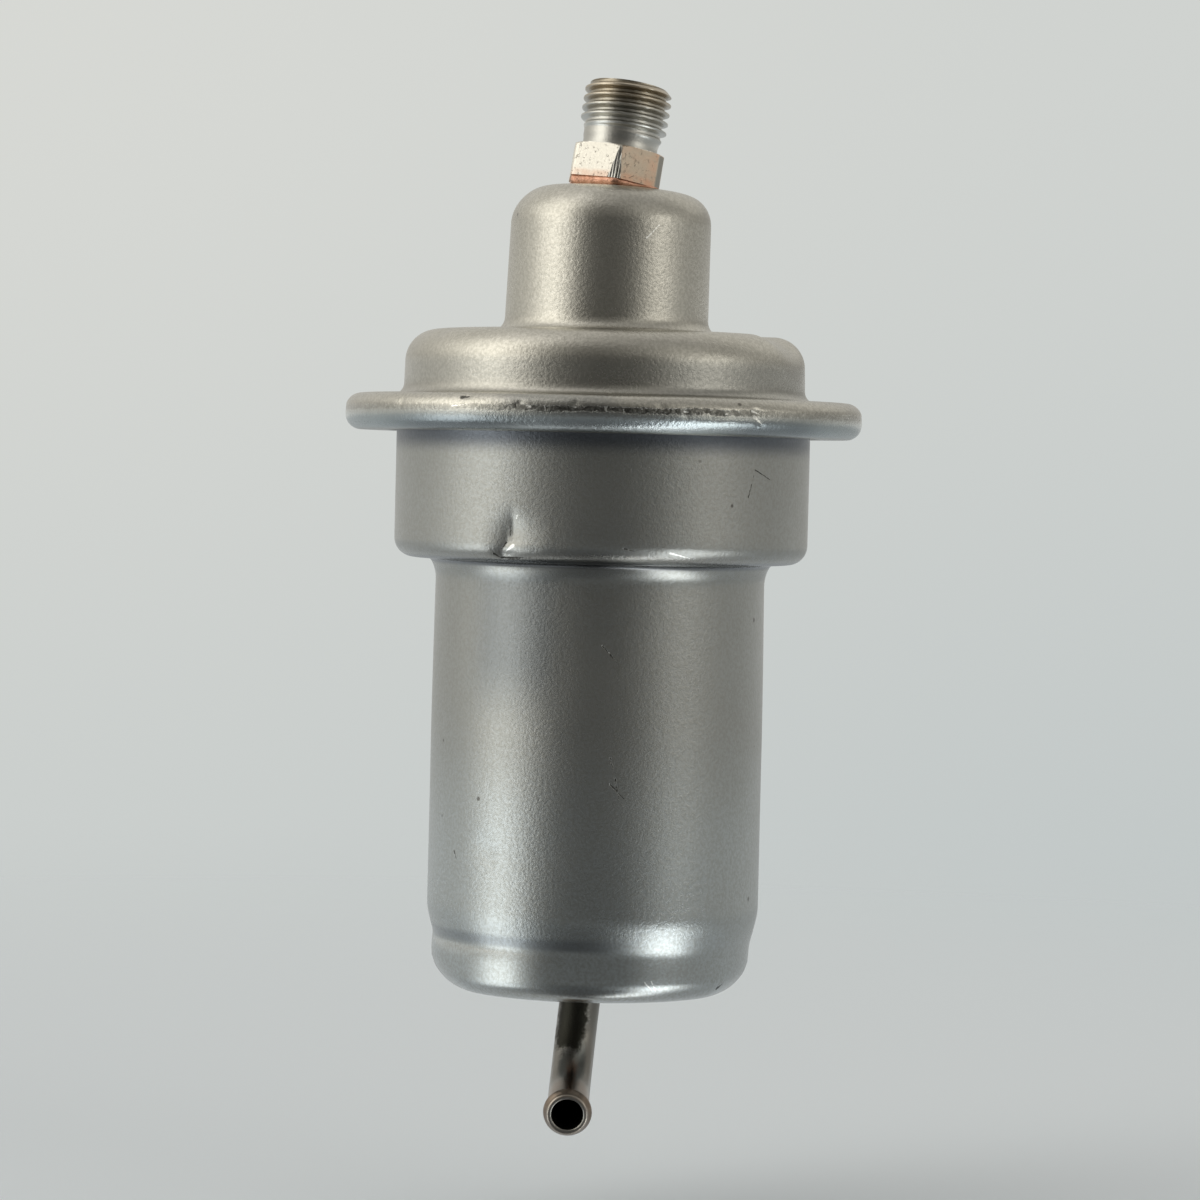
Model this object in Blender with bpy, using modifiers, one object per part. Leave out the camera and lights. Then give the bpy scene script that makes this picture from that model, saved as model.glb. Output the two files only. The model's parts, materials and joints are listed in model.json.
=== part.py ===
"""Fuel accumulator: a drawn steel can with a sprung diaphragm clamped in its rolled seam.

The can's axis is Z, with the threaded inlet union on top and the vent tube below.
The origin lies on that axis, halfway up the seam. Lengths are in metres.
The union has been knocked over and its lean, with the dished dome under it, is part of the model.
"""

import math

import bmesh
import bpy
from mathutils import Matrix, Vector

# Clearance that touching pieces keep, and how finely round pieces are divided
GAP = 0.0003
ROUND_STEPS = 36
INNER_STEPS = 20
FILLET_CHORD = 0.0022
FILLET_ANGLE = math.radians(50)
SHARP_ANGLE = math.radians(32)

# Sheet steel of the two shells, and the seam that the cover's flange is rolled into
SHEET = 0.0012
SEAM_OVERHANG = 0.0082
SEAM_CORNER = 0.0024

# Cover: a shallow drawn cap with a dome neck
COVER_INSET = 0.00125
COVER_DRAFT = 0.0003
COVER_TOP = 0.01305
COVER_CORNER = 0.005
COVER_FOOT = 0.002
DOME_RADIUS = 0.01562
DOME_DRAFT = 0.0004
DOME_TOP = 0.03545
DOME_CORNER = 0.0055
DOME_FOOT = 0.0022

# Dent on the cover's shoulder, at the front right
DENT_INSET = 0.00295
DENT_AZIMUTH = math.radians(-16)
DENT_REACH = 0.0052
DENT_DEPTH = 0.0009

# Spring can: wide body under the seam, a step, a long barrel and a necked closed end
BODY_RADIUS = 0.0325
BODY_DEPTH = 0.02245
BODY_BEND = 0.0012
STEP_CORNER = 0.003
STEP_FALL = 0.0003
STEP_FILLET = 0.002
STEP_WIDTH = 0.0064
WAIST_DEPTH = 0.00022
WAIST_LENGTH = 0.02755
NECK_DEPTH = 0.00105
NECK_HEIGHT = 0.0144
NECK_LENGTH = 0.0058
NECK_BLEND = 0.004
CAN_LENGTH = 0.0897
END_CORNER = 0.0056

# Inlet union: male thread, relief neck, hexagon and a shank brazed through the dome
UNION_LEAN_RIGHT = math.radians(8.0)
UNION_LEAN_BACK = math.radians(5.5)
DOME_LEAN = math.radians(1.7)
DOME_DISH = math.radians(3.2)
DISH_START = 0.009
THREAD_RADIUS = 0.0069
THREAD_LENGTH = 0.0075
THREAD_CHAMFER = 0.0009
RELIEF_RADIUS = 0.006
RELIEF_LENGTH = 0.0029
HEX_FLATS = 0.014
HEX_HEIGHT = 0.0054
HEX_TURN = math.radians(2.5)
HEX_CHAMFER = 0.0006
HEX_SEAT = 0.0009
SHANK_RADIUS = 0.005
SHANK_BELOW = 0.0042
UNION_BORE = 0.004
SEAT_CONE_RADIUS = 0.0048
SEAT_CONE_DEPTH = 0.0012
BRAZE_OVERHANG = 0.0007

# Guide plate under the dome, and the plate on the diaphragm's fuel side that rests against it
GUIDE_SHEET = 0.001
GUIDE_DEPTH = 0.0023
GUIDE_RIM_INSET = 0.00235
GUIDE_RIM_WIDTH = 0.0029
GUIDE_MOUTH = 0.008
GUIDE_HOLE_RADIUS = 0.0017
GUIDE_HOLES = 8
PLATE_INSET = 0.0016
PLATE_THICKNESS = 0.0015

# Diaphragm, spring cup and the rivet that holds them together
DIAPHRAGM_WALL = 0.0012
CONVOLUTION_DEPTH = 0.0064
CONVOLUTION_RADIUS = 0.003
CLAMP_BEND = 0.0028
CLAMP_CLEARANCE = 0.0004
CUP_CLEARANCE = 0.0033
CUP_DEPTH = 0.0118
CUP_CORNER = 0.002
RIVET_RADIUS = 0.003
RIVET_HEAD_RADIUS = 0.006
RIVET_HEAD = 0.0016
RIVET_TAIL_RADIUS = 0.005
RIVET_TAIL = 0.0018
WASHER_RADIUS = 0.0068
WASHER_THICKNESS = 0.0012

# Travel of the diaphragm, spring, stop sleeve and the seat in the can's end
STROKE = 0.018
WIRE = 0.0038
SPRING_TURNS = 9.5
SPRING_CLEARANCE = 0.0004
COIL_STEPS = 10
SLEEVE_CLEARANCE = 0.0012
SLEEVE_SHEET = 0.0012
SLEEVE_BEND = 0.001
BREATHER_RADIUS = 0.0025
BREATHER_HEIGHT = 0.012
BREATHERS = 4
SEAT_HEIGHT = 0.006
SEAT_MOUTH = 0.006

# Vent tube: out of the can's end, bent forward, with a hose bead at its mouth
TUBE_RADIUS = 0.00325
TUBE_BORE = 0.0024
TUBE_SIDE = -0.0014
TUBE_LEAN = math.radians(5.5)
TUBE_DROP = 0.0051
TUBE_BEND_RADIUS = 0.0115
TUBE_BEND_ANGLE = math.radians(81.0)
TUBE_REACH = 0.009
TUBE_INSIDE = 0.002
BEAD_RADIUS = 0.0038
BEAD_SETBACK = 0.0015
BEAD_HALF_WIDTH = 0.0011
VENT_BRAZE_WIDTH = 0.002
VENT_BRAZE_HEIGHT = 0.0018

# Radii that follow from the body's
SEAM_RADIUS = BODY_RADIUS + SEAM_OVERHANG
COVER_RADIUS = BODY_RADIUS - COVER_INSET
BARREL_RADIUS = BODY_RADIUS - STEP_WIDTH
WAIST_RADIUS = BARREL_RADIUS - WAIST_DEPTH
NECK_RADIUS = BARREL_RADIUS - NECK_DEPTH
DENT_PLACE = COVER_RADIUS - DENT_INSET
GUIDE_RIM_RADIUS = COVER_RADIUS - COVER_CORNER - GUIDE_RIM_INSET
GUIDE_FLOOR_RADIUS = GUIDE_RIM_RADIUS - GUIDE_RIM_WIDTH
GUIDE_HOLE_CIRCLE = (GUIDE_MOUTH + GUIDE_FLOOR_RADIUS) / 2
CUP_RADIUS = BARREL_RADIUS - SHEET - CUP_CLEARANCE
PLATE_RADIUS = CUP_RADIUS - PLATE_INSET

# Depths under the seam at which the barrel is at its full radius and the neck starts
BARREL_START = BODY_DEPTH + WAIST_LENGTH
NECK_START = CAN_LENGTH - NECK_HEIGHT

# Seam stack: cover flange, diaphragm, can flange and rolled lip, each a gap apart
SEAM_HALF = (3 * SHEET + DIAPHRAGM_WALL + 3 * GAP) / 2
RIM_TOP = SEAM_HALF - SHEET - GAP
CAN_FLANGE_TOP = RIM_TOP - DIAPHRAGM_WALL - GAP
CAN_FLANGE_UNDERSIDE = CAN_FLANGE_TOP - SHEET
FLANGE_EDGE = SEAM_RADIUS - SEAM_CORNER
LIP_EDGE = BODY_RADIUS + BODY_BEND + GAP

# Heights of the inner pieces, from the cover down to the spring's upper end
GUIDE_RIM_TOP = COVER_TOP - SHEET - GAP
GUIDE_FLOOR_TOP = GUIDE_RIM_TOP - GUIDE_DEPTH
PLATE_TOP = GUIDE_FLOOR_TOP - GUIDE_SHEET - GAP
CENTRE_TOP = PLATE_TOP - PLATE_THICKNESS - GAP
CUP_TOP = CENTRE_TOP - DIAPHRAGM_WALL - GAP
CUP_UNDERSIDE = CUP_TOP - SHEET
SPRING_TOP = CUP_UNDERSIDE - GAP
CUP_LOWER_EDGE = CUP_TOP - CUP_DEPTH

# Heights of the pieces in the can's end, from its floor up
CAN_FLOOR = -CAN_LENGTH + SHEET
SEAT_BOTTOM = CAN_FLOOR + GAP
FOOT_BOTTOM = SEAT_BOTTOM + SHEET + GAP
FOOT_TOP = FOOT_BOTTOM + SLEEVE_SHEET
SPRING_BOTTOM = FOOT_TOP + GAP
SLEEVE_TOP = CUP_UNDERSIDE - STROKE - GAP

# Radii of the pieces that nest round the spring
SPRING_RADIUS = CUP_RADIUS - SHEET - SPRING_CLEARANCE - WIRE / 2
SLEEVE_RADIUS = SPRING_RADIUS - WIRE / 2 - SLEEVE_CLEARANCE
SEAT_RADIUS = NECK_RADIUS - SHEET - GAP
SEAT_CORNER = END_CORNER - SHEET - GAP
FOOT_RADIUS = SEAT_RADIUS - SEAT_CORNER - GAP
RIVET_HOLE = RIVET_RADIUS + GAP

# Direction in which the union leans, and the frame that its pieces are modelled in
LEAN_AXIS = Vector((math.tan(UNION_LEAN_RIGHT), math.tan(UNION_LEAN_BACK), 1.0)).normalized()
LEAN_WAY = Vector((LEAN_AXIS.x, LEAN_AXIS.y)).normalized()
DOME_SHIFT = LEAN_WAY * (DOME_TOP - COVER_TOP) * math.tan(DOME_LEAN)
UNION_FRAME = (
    Matrix.Translation((DOME_SHIFT.x, DOME_SHIFT.y, DOME_TOP))
    @ Vector((0.0, 0.0, 1.0)).rotation_difference(LEAN_AXIS).to_matrix().to_4x4()
)
HEX_TOP = HEX_SEAT + HEX_HEIGHT
RELIEF_TOP = HEX_TOP + RELIEF_LENGTH
UNION_TOP = RELIEF_TOP + THREAD_LENGTH


def clear_scene():
    """Start from an empty scene."""
    for thing in list(bpy.data.objects):
        bpy.data.objects.remove(thing, do_unlink=True)


def new_collection(name):
    """Add a collection to the scene."""
    collection = bpy.data.collections.new(name)
    bpy.context.scene.collection.children.link(collection)
    return collection


def new_material(name, colour, roughness, metallic):
    """Make a Principled material."""
    material = bpy.data.materials.new(name)
    material.use_nodes = True
    shader = material.node_tree.nodes["Principled BSDF"]
    shader.inputs["Base Color"].default_value = (*colour, 1.0)
    shader.inputs["Roughness"].default_value = roughness
    shader.inputs["Metallic"].default_value = metallic
    return material


clear_scene()
PARTS = new_collection("fuel_accumulator")
CUTTERS = new_collection("cutters")

SATIN_STEEL = new_material("satin_steel", (0.34, 0.33, 0.30), 0.38, 1.0)
UNION_STEEL = new_material("union_steel", (0.42, 0.41, 0.38), 0.34, 1.0)
TUBE_STEEL = new_material("tube_steel", (0.23, 0.21, 0.17), 0.36, 1.0)
BRAZE_COPPER = new_material("braze_copper", (0.55, 0.24, 0.11), 0.45, 1.0)
SPRING_STEEL = new_material("spring_steel", (0.20, 0.20, 0.21), 0.40, 1.0)
PRESSED_STEEL = new_material("pressed_steel", (0.45, 0.42, 0.34), 0.42, 1.0)
DIAPHRAGM_RUBBER = new_material("diaphragm_rubber", (0.03, 0.03, 0.03), 0.75, 0.0)


def add_piece(name, mesh, material):
    """Put a mesh in the scene as one named piece."""
    piece = bpy.data.objects.new(name, mesh)
    if material:
        mesh.materials.append(material)
    PARTS.objects.link(piece)
    return piece


def make_cutter(piece):
    """Move an object to the cutters, drawn as wire and never rendered."""
    for collection in list(piece.users_collection):
        collection.objects.unlink(piece)
    CUTTERS.objects.link(piece)
    piece.display_type = "WIRE"
    piece.hide_render = True
    return piece


def settle(piece):
    """Turn a piece's modifiers into its own mesh, smooth but for its real edges."""
    graph = bpy.context.evaluated_depsgraph_get()
    mesh = bpy.data.meshes.new_from_object(piece.evaluated_get(graph))
    piece.modifiers.clear()
    piece.data = mesh
    mesh.shade_smooth()
    mesh.set_sharp_from_angle(angle=SHARP_ANGLE)
    return piece


def boolean(piece, other, operation):
    """Cut, join or intersect a piece with a cutter."""
    modifier = piece.modifiers.new(operation.lower(), "BOOLEAN")
    modifier.operation = operation
    modifier.solver = "EXACT"
    modifier.object = make_cutter(other)
    return settle(piece)


def rounded(corners):
    """Outline through (radius, height, fillet) corners, each fillet drawn as an arc."""
    outline = []
    for index, (radius, height, fillet) in enumerate(corners):
        corner = Vector((radius, height))
        if not fillet:
            outline.append(corner)
            continue
        before = (Vector(corners[index - 1][:2]) - corner).normalized()
        after = (Vector(corners[index + 1][:2]) - corner).normalized()
        half = before.angle(after) / 2
        centre = corner + (before + after).normalized() * fillet / math.sin(half)
        start = corner + before * fillet / math.tan(half) - centre
        first = math.atan2(start.y, start.x)
        sweep = math.pi - 2 * half
        steps = math.ceil(max(fillet * sweep / FILLET_CHORD, sweep / FILLET_ANGLE))
        if before.x * after.y - before.y * after.x > 0:
            sweep = -sweep
        for step in range(steps + 1):
            angle = first + sweep * step / steps
            outline.append(centre + fillet * Vector((math.cos(angle), math.sin(angle))))
    return outline


def turned(name, outline, material, wall=None, closed=False, steps=INNER_STEPS):
    """Turn an outline round Z. With a wall it is the outside of a drawn sheet."""
    mesh = bpy.data.meshes.new(name)
    points = [(point[0], 0.0, point[1]) for point in outline]
    edges = [(index, index + 1) for index in range(len(points) - 1)]
    if closed:
        edges.append((len(points) - 1, 0))
    mesh.from_pydata(points, edges, [])
    piece = add_piece(name, mesh, material)
    screw = piece.modifiers.new("turn", "SCREW")
    screw.axis = "Z"
    screw.steps = steps
    screw.render_steps = steps
    screw.use_merge_vertices = True
    screw.merge_threshold = 0.00001
    if wall:
        solidify = piece.modifiers.new("sheet", "SOLIDIFY")
        solidify.thickness = wall
        solidify.offset = -1.0
        solidify.use_even_offset = True
    return settle(piece)


def washer(name, radius, hole, top, thickness, material):
    """Flat ring whose upper face is at a height."""
    bottom = top - thickness
    outline = [(hole, top), (radius, top), (radius, bottom), (hole, bottom)]
    return turned(name, outline, material, closed=True)


def cylinder(name, radius, start, end, sides=INNER_STEPS):
    """Closed cylinder between two points."""
    start = Vector(start)
    way = Vector(end) - start
    bpy.ops.mesh.primitive_cylinder_add(vertices=sides, radius=radius, depth=way.length)
    piece = bpy.context.object
    piece.name = name
    turn = Vector((0.0, 0.0, 1.0)).rotation_difference(way).to_matrix().to_4x4()
    piece.matrix_world = Matrix.Translation(start + way / 2) @ turn
    return piece


def block(name, size, frame):
    """Closed cube whose lower face is centred on a frame's origin."""
    bpy.ops.mesh.primitive_cube_add(size=size)
    piece = bpy.context.object
    piece.name = name
    piece.matrix_world = frame @ Matrix.Translation((0.0, 0.0, size / 2))
    return piece


def swept(name, points, radii, sides, material):
    """Round bar along points, made a mesh with its end caps welded on."""
    curve = bpy.data.curves.new(name, "CURVE")
    curve.dimensions = "3D"
    curve.bevel_depth = 1.0
    curve.bevel_resolution = sides // 2 - 2
    curve.use_fill_caps = True
    spline = curve.splines.new("POLY")
    spline.points.add(len(points) - 1)
    for place, point, radius in zip(spline.points, points, radii):
        place.co = (*point, 1.0)
        place.radius = radius
    bar = bpy.data.objects.new(name, curve)
    PARTS.objects.link(bar)
    graph = bpy.context.evaluated_depsgraph_get()
    mesh = bpy.data.meshes.new_from_object(bar.evaluated_get(graph))
    frame = bar.matrix_world.copy()
    bpy.data.objects.remove(bar, do_unlink=True)
    shape = bmesh.new()
    shape.from_mesh(mesh)
    bmesh.ops.remove_doubles(shape, verts=shape.verts, dist=0.00001)
    bmesh.ops.recalc_face_normals(shape, faces=shape.faces)
    shape.to_mesh(mesh)
    shape.free()
    mesh.materials.clear()
    piece = add_piece(name, mesh, material)
    piece.matrix_world = frame
    return piece


def smooth_step(value):
    """Ease from 0 to 1."""
    value = min(max(value, 0.0), 1.0)
    return value * value * (3 - 2 * value)


def lean_dome(piece):
    """Lean the dome and tilt its top the way the union was knocked."""
    for vertex in piece.data.vertices:
        reach = math.hypot(vertex.co.x, vertex.co.y)
        rise = vertex.co.z - COVER_TOP
        if rise > 0 and reach < DOME_RADIUS + DOME_DRAFT + DOME_FOOT:
            share = 1 - smooth_step((reach - DISH_START) / (DOME_RADIUS - DISH_START))
            way = vertex.co.x * LEAN_WAY.x + vertex.co.y * LEAN_WAY.y
            if rise > DOME_TOP - COVER_TOP - DOME_CORNER:
                vertex.co.z -= way * math.tan(DOME_DISH) * share
            vertex.co.x += LEAN_WAY.x * rise * math.tan(DOME_LEAN)
            vertex.co.y += LEAN_WAY.y * rise * math.tan(DOME_LEAN)


def press_dent(piece, centre, reach, depth, way):
    """Push the sheet in round a point, easing out to nothing at the reach."""
    for vertex in piece.data.vertices:
        distance = (vertex.co - centre).length / reach
        if distance < 1:
            vertex.co += way.normalized() * depth * (1 - distance * distance) ** 2


def cover_shell():
    """Drawn cover: dome, shoulder and a flange rolled round the can's flange."""
    dome_foot = DOME_RADIUS + DOME_DRAFT
    cover_foot = COVER_RADIUS + COVER_DRAFT
    outline = rounded([
        (SHANK_RADIUS + 2 * GAP, DOME_TOP, 0),
        (DOME_RADIUS, DOME_TOP, DOME_CORNER),
        (dome_foot, COVER_TOP, DOME_FOOT),
        (GUIDE_RIM_RADIUS, COVER_TOP, 0),
        (COVER_RADIUS, COVER_TOP, COVER_CORNER),
        (cover_foot, SEAM_HALF, COVER_FOOT),
        (SEAM_RADIUS, SEAM_HALF, SEAM_CORNER),
        (SEAM_RADIUS, -SEAM_HALF, SEAM_CORNER),
        (LIP_EDGE, -SEAM_HALF, 0),
    ])
    cover = turned("cover_shell", outline, SATIN_STEEL, wall=SHEET, steps=ROUND_STEPS)
    lean_dome(cover)
    outward = Vector((math.cos(DENT_AZIMUTH), math.sin(DENT_AZIMUTH), 0.0))
    dent_centre = outward * DENT_PLACE + Vector((0.0, 0.0, COVER_TOP))
    press_dent(cover, dent_centre, DENT_REACH, DENT_DEPTH, Vector((0.0, 0.0, -1.0)) - outward * 0.3)
    return cover


def spring_can():
    """Drawn can: flange, wide body, step, barrel and necked end with the vent hole."""
    outline = rounded([
        (FLANGE_EDGE, CAN_FLANGE_UNDERSIDE, 0),
        (BODY_RADIUS, CAN_FLANGE_UNDERSIDE, BODY_BEND),
        (BODY_RADIUS, -BODY_DEPTH, STEP_CORNER),
        (WAIST_RADIUS, -BODY_DEPTH - STEP_FALL, STEP_FILLET),
        (BARREL_RADIUS, -BARREL_START, 0),
        (BARREL_RADIUS, -NECK_START, NECK_BLEND),
        (NECK_RADIUS, -NECK_START - NECK_LENGTH, NECK_BLEND),
        (NECK_RADIUS, -CAN_LENGTH, END_CORNER),
        (0, -CAN_LENGTH, 0),
    ])
    can = turned("spring_can", outline, SATIN_STEEL, wall=SHEET, steps=ROUND_STEPS)
    mouth = Vector((TUBE_SIDE, 0.0, -CAN_LENGTH))
    through = Vector((0.0, 0.0, 2 * SHEET))
    hole = cylinder("vent_hole", TUBE_RADIUS + GAP, mouth - through, mouth + through)
    return boolean(can, hole, "DIFFERENCE")


def inlet_union():
    """Turned union: chamfered thread, relief neck, hexagon and shank, bored through."""
    outline = [
        (SEAT_CONE_RADIUS, UNION_TOP),
        (THREAD_RADIUS - THREAD_CHAMFER, UNION_TOP),
        (THREAD_RADIUS, UNION_TOP - THREAD_CHAMFER),
        (THREAD_RADIUS, RELIEF_TOP + THREAD_RADIUS - RELIEF_RADIUS),
        (RELIEF_RADIUS, RELIEF_TOP),
        (RELIEF_RADIUS, HEX_SEAT + HEX_HEIGHT / 2),
        (SHANK_RADIUS, HEX_SEAT + HEX_HEIGHT / 2),
        (SHANK_RADIUS, -SHANK_BELOW),
        (UNION_BORE, -SHANK_BELOW),
        (UNION_BORE, UNION_TOP - SEAT_CONE_DEPTH),
    ]
    union = turned("inlet_union", outline, UNION_STEEL, closed=True, steps=ROUND_STEPS)
    union.matrix_world = UNION_FRAME

    corner = HEX_FLATS / 2 / math.cos(math.pi / 6)
    hexagon = cylinder("hexagon", corner, (0, 0, HEX_SEAT), (0, 0, HEX_TOP), sides=6)
    hexagon.data.transform(Matrix.Rotation(HEX_TURN, 4, "Z"))
    slope = HEX_CHAMFER * math.tan(math.radians(60))
    crown = turned("hexagon_crown", [
        (0, HEX_TOP + GAP),
        (corner - slope, HEX_TOP + GAP),
        (corner + 2 * slope, HEX_TOP - 1.5 * HEX_CHAMFER),
        (corner + 2 * slope, HEX_SEAT - GAP),
        (0, HEX_SEAT - GAP),
    ], None)
    boolean(hexagon, crown, "INTERSECT")
    core = (UNION_BORE + SHANK_RADIUS) / 2
    middle = cylinder("hexagon_middle", core, (0, 0, HEX_SEAT - GAP), (0, 0, HEX_TOP + GAP))
    boolean(hexagon, middle, "DIFFERENCE")
    hexagon.matrix_world = UNION_FRAME @ hexagon.matrix_world
    return boolean(union, hexagon, "UNION")


def union_braze():
    """Copper braze in the wedge between the dome and the leaning hexagon."""
    hole = SHANK_RADIUS + 3 * GAP
    width = HEX_FLATS / 2 + BRAZE_OVERHANG
    ring = washer("union_braze", width, hole, DOME_TOP + 2 * HEX_SEAT, 4 * HEX_SEAT, BRAZE_COPPER)
    ring.data.transform(Matrix.Translation((DOME_SHIFT.x, DOME_SHIFT.y, 0.0)))
    size = 4 * width
    hexagon_side = UNION_FRAME @ Matrix.Translation((0.0, 0.0, HEX_SEAT - GAP))
    boolean(ring, block("braze_under_hexagon", size, hexagon_side), "DIFFERENCE")
    normal = Vector((LEAN_WAY.x * math.tan(DOME_DISH), LEAN_WAY.y * math.tan(DOME_DISH), 1.0))
    flip = Vector((0.0, 0.0, 1.0)).rotation_difference(-normal).to_matrix().to_4x4()
    dome_side = Matrix.Translation((DOME_SHIFT.x, DOME_SHIFT.y, DOME_TOP + GAP)) @ flip
    boolean(ring, block("braze_over_dome", size, dome_side), "DIFFERENCE")
    away = Vector((LEAN_WAY.x, LEAN_WAY.y, 0.0))
    facing = Vector((0.0, 0.0, 1.0)).rotation_difference(away).to_matrix().to_4x4()
    thin_side = Matrix.Translation((DOME_SHIFT.x, DOME_SHIFT.y, DOME_TOP)) @ facing
    boolean(ring, block("braze_thin_edge", size, thin_side), "DIFFERENCE")
    return ring


def guide_plate():
    """Perforated plate under the dome that the diaphragm's plate comes up against."""
    outline = rounded([
        (GUIDE_MOUTH, GUIDE_FLOOR_TOP, 0),
        (GUIDE_FLOOR_RADIUS, GUIDE_FLOOR_TOP, 0.001),
        (GUIDE_FLOOR_RADIUS + GUIDE_DEPTH / 2, GUIDE_RIM_TOP, 0.0015),
        (GUIDE_RIM_RADIUS, GUIDE_RIM_TOP, 0),
    ])
    plate = turned("guide_plate", outline, PRESSED_STEEL, wall=GUIDE_SHEET)
    for index in range(GUIDE_HOLES):
        angle = 2 * math.pi * (index + 0.5) / GUIDE_HOLES
        x = GUIDE_HOLE_CIRCLE * math.cos(angle)
        y = GUIDE_HOLE_CIRCLE * math.sin(angle)
        above = (x, y, GUIDE_RIM_TOP)
        below = (x, y, GUIDE_FLOOR_TOP - 2 * GUIDE_SHEET)
        hole = cylinder(f"guide_hole_{index + 1}", GUIDE_HOLE_RADIUS, below, above, sides=12)
        boolean(plate, hole, "DIFFERENCE")
    return plate


def diaphragm():
    """Rubber disc: rim held in the seam, rolled convolution and a raised centre."""
    inner_leg = CUP_RADIUS + GAP + DIAPHRAGM_WALL
    outer_leg = BODY_RADIUS - SHEET - CLAMP_CLEARANCE - DIAPHRAGM_WALL
    outline = rounded([
        (RIVET_HOLE, CENTRE_TOP, 0),
        (inner_leg, CENTRE_TOP, CUP_CORNER + GAP + DIAPHRAGM_WALL),
        (inner_leg, RIM_TOP - CONVOLUTION_DEPTH, CONVOLUTION_RADIUS),
        (outer_leg, RIM_TOP - CONVOLUTION_DEPTH, CONVOLUTION_RADIUS),
        (outer_leg, RIM_TOP, CLAMP_BEND),
        (FLANGE_EDGE, RIM_TOP, 0),
    ])
    return turned("diaphragm", outline, DIAPHRAGM_RUBBER, wall=DIAPHRAGM_WALL)


def spring_cup():
    """Drawn cup under the diaphragm that the spring's upper end stands in."""
    outline = rounded([
        (RIVET_HOLE, CUP_TOP, 0),
        (CUP_RADIUS, CUP_TOP, CUP_CORNER),
        (CUP_RADIUS, CUP_LOWER_EDGE, 0),
    ])
    return turned("spring_cup", outline, PRESSED_STEEL, wall=SHEET)


def diaphragm_rivet():
    """Rivet through the plate, diaphragm, cup and washer, with a formed tail."""
    head = PLATE_TOP + GAP
    tail = CUP_UNDERSIDE - WASHER_THICKNESS - 2 * GAP
    outline = rounded([
        (0, head + RIVET_HEAD, 0),
        (RIVET_HEAD_RADIUS, head + RIVET_HEAD, RIVET_HEAD / 2),
        (RIVET_HEAD_RADIUS, head, 0),
        (RIVET_RADIUS, head, 0),
        (RIVET_RADIUS, tail, 0),
        (RIVET_TAIL_RADIUS, tail, 0),
        (RIVET_TAIL_RADIUS, tail - RIVET_TAIL, RIVET_TAIL / 2),
        (0, tail - RIVET_TAIL, 0),
    ])
    return turned("diaphragm_rivet", outline, SPRING_STEEL)


def stop_sleeve():
    """Sleeve inside the spring: its foot is held down by the spring, its rim stops the cup."""
    outline = rounded([
        (SLEEVE_RADIUS, SLEEVE_TOP, 0),
        (SLEEVE_RADIUS, FOOT_TOP, SLEEVE_BEND),
        (FOOT_RADIUS, FOOT_TOP, 0),
    ])
    sleeve = turned("stop_sleeve", outline, PRESSED_STEEL, wall=SLEEVE_SHEET)
    height = FOOT_TOP + BREATHER_HEIGHT
    for index in range(BREATHERS):
        angle = 2 * math.pi * (index + 0.25) / BREATHERS
        way = Vector((math.cos(angle), math.sin(angle), 0.0))
        middle = Vector((0.0, 0.0, height))
        near = middle + way * (SLEEVE_RADIUS - 3 * SLEEVE_SHEET)
        far = middle + way * (SLEEVE_RADIUS + 2 * SLEEVE_SHEET)
        hole = cylinder(f"breather_{index + 1}", BREATHER_RADIUS, near, far, sides=16)
        boolean(sleeve, hole, "DIFFERENCE")
    return sleeve


def spring_seat():
    """Shallow cup in the can's end that the sleeve's foot and the spring stand in."""
    outline = rounded([
        (SEAT_RADIUS, SEAT_BOTTOM + SEAT_HEIGHT, 0),
        (SEAT_RADIUS, SEAT_BOTTOM, SEAT_CORNER),
        (SEAT_MOUTH, SEAT_BOTTOM, 0),
    ])
    return turned("spring_seat", outline, PRESSED_STEEL, wall=SHEET)


def coil_points():
    """Centre line of the wire, one closed turn at each end, open between them."""
    closed = WIRE + GAP
    count = round(SPRING_TURNS * COIL_STEPS)
    openness = []
    for index in range(count):
        turns = (index + 0.5) / COIL_STEPS
        inside = min(turns, SPRING_TURNS - turns) - 1
        openness.append(smooth_step(inside * 2 + 0.5))
    height = SPRING_TOP - SPRING_BOTTOM
    spare = (height - closed * SPRING_TURNS) / sum(openness)
    points = []
    level = SPRING_BOTTOM
    for index in range(count + 1):
        angle = 2 * math.pi * index / COIL_STEPS
        x = SPRING_RADIUS * math.cos(angle)
        y = SPRING_RADIUS * math.sin(angle)
        points.append(Vector((x, y, level)))
        if index < count:
            level += closed / COIL_STEPS + spare * openness[index]
    return points


def main_spring():
    """Compression spring with closed ends ground flat."""
    points = coil_points()
    radii = [WIRE / 2] * len(points)
    spring = swept("main_spring", points, radii, 8, SPRING_STEEL)
    size = 4 * SPRING_RADIUS
    upper = block("grind_upper_end", size, Matrix.Translation((0.0, 0.0, SPRING_TOP)))
    boolean(spring, upper, "DIFFERENCE")
    lower = block("grind_lower_end", size, Matrix.Translation((0.0, 0.0, SPRING_BOTTOM - size)))
    return boolean(spring, lower, "DIFFERENCE")


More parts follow.
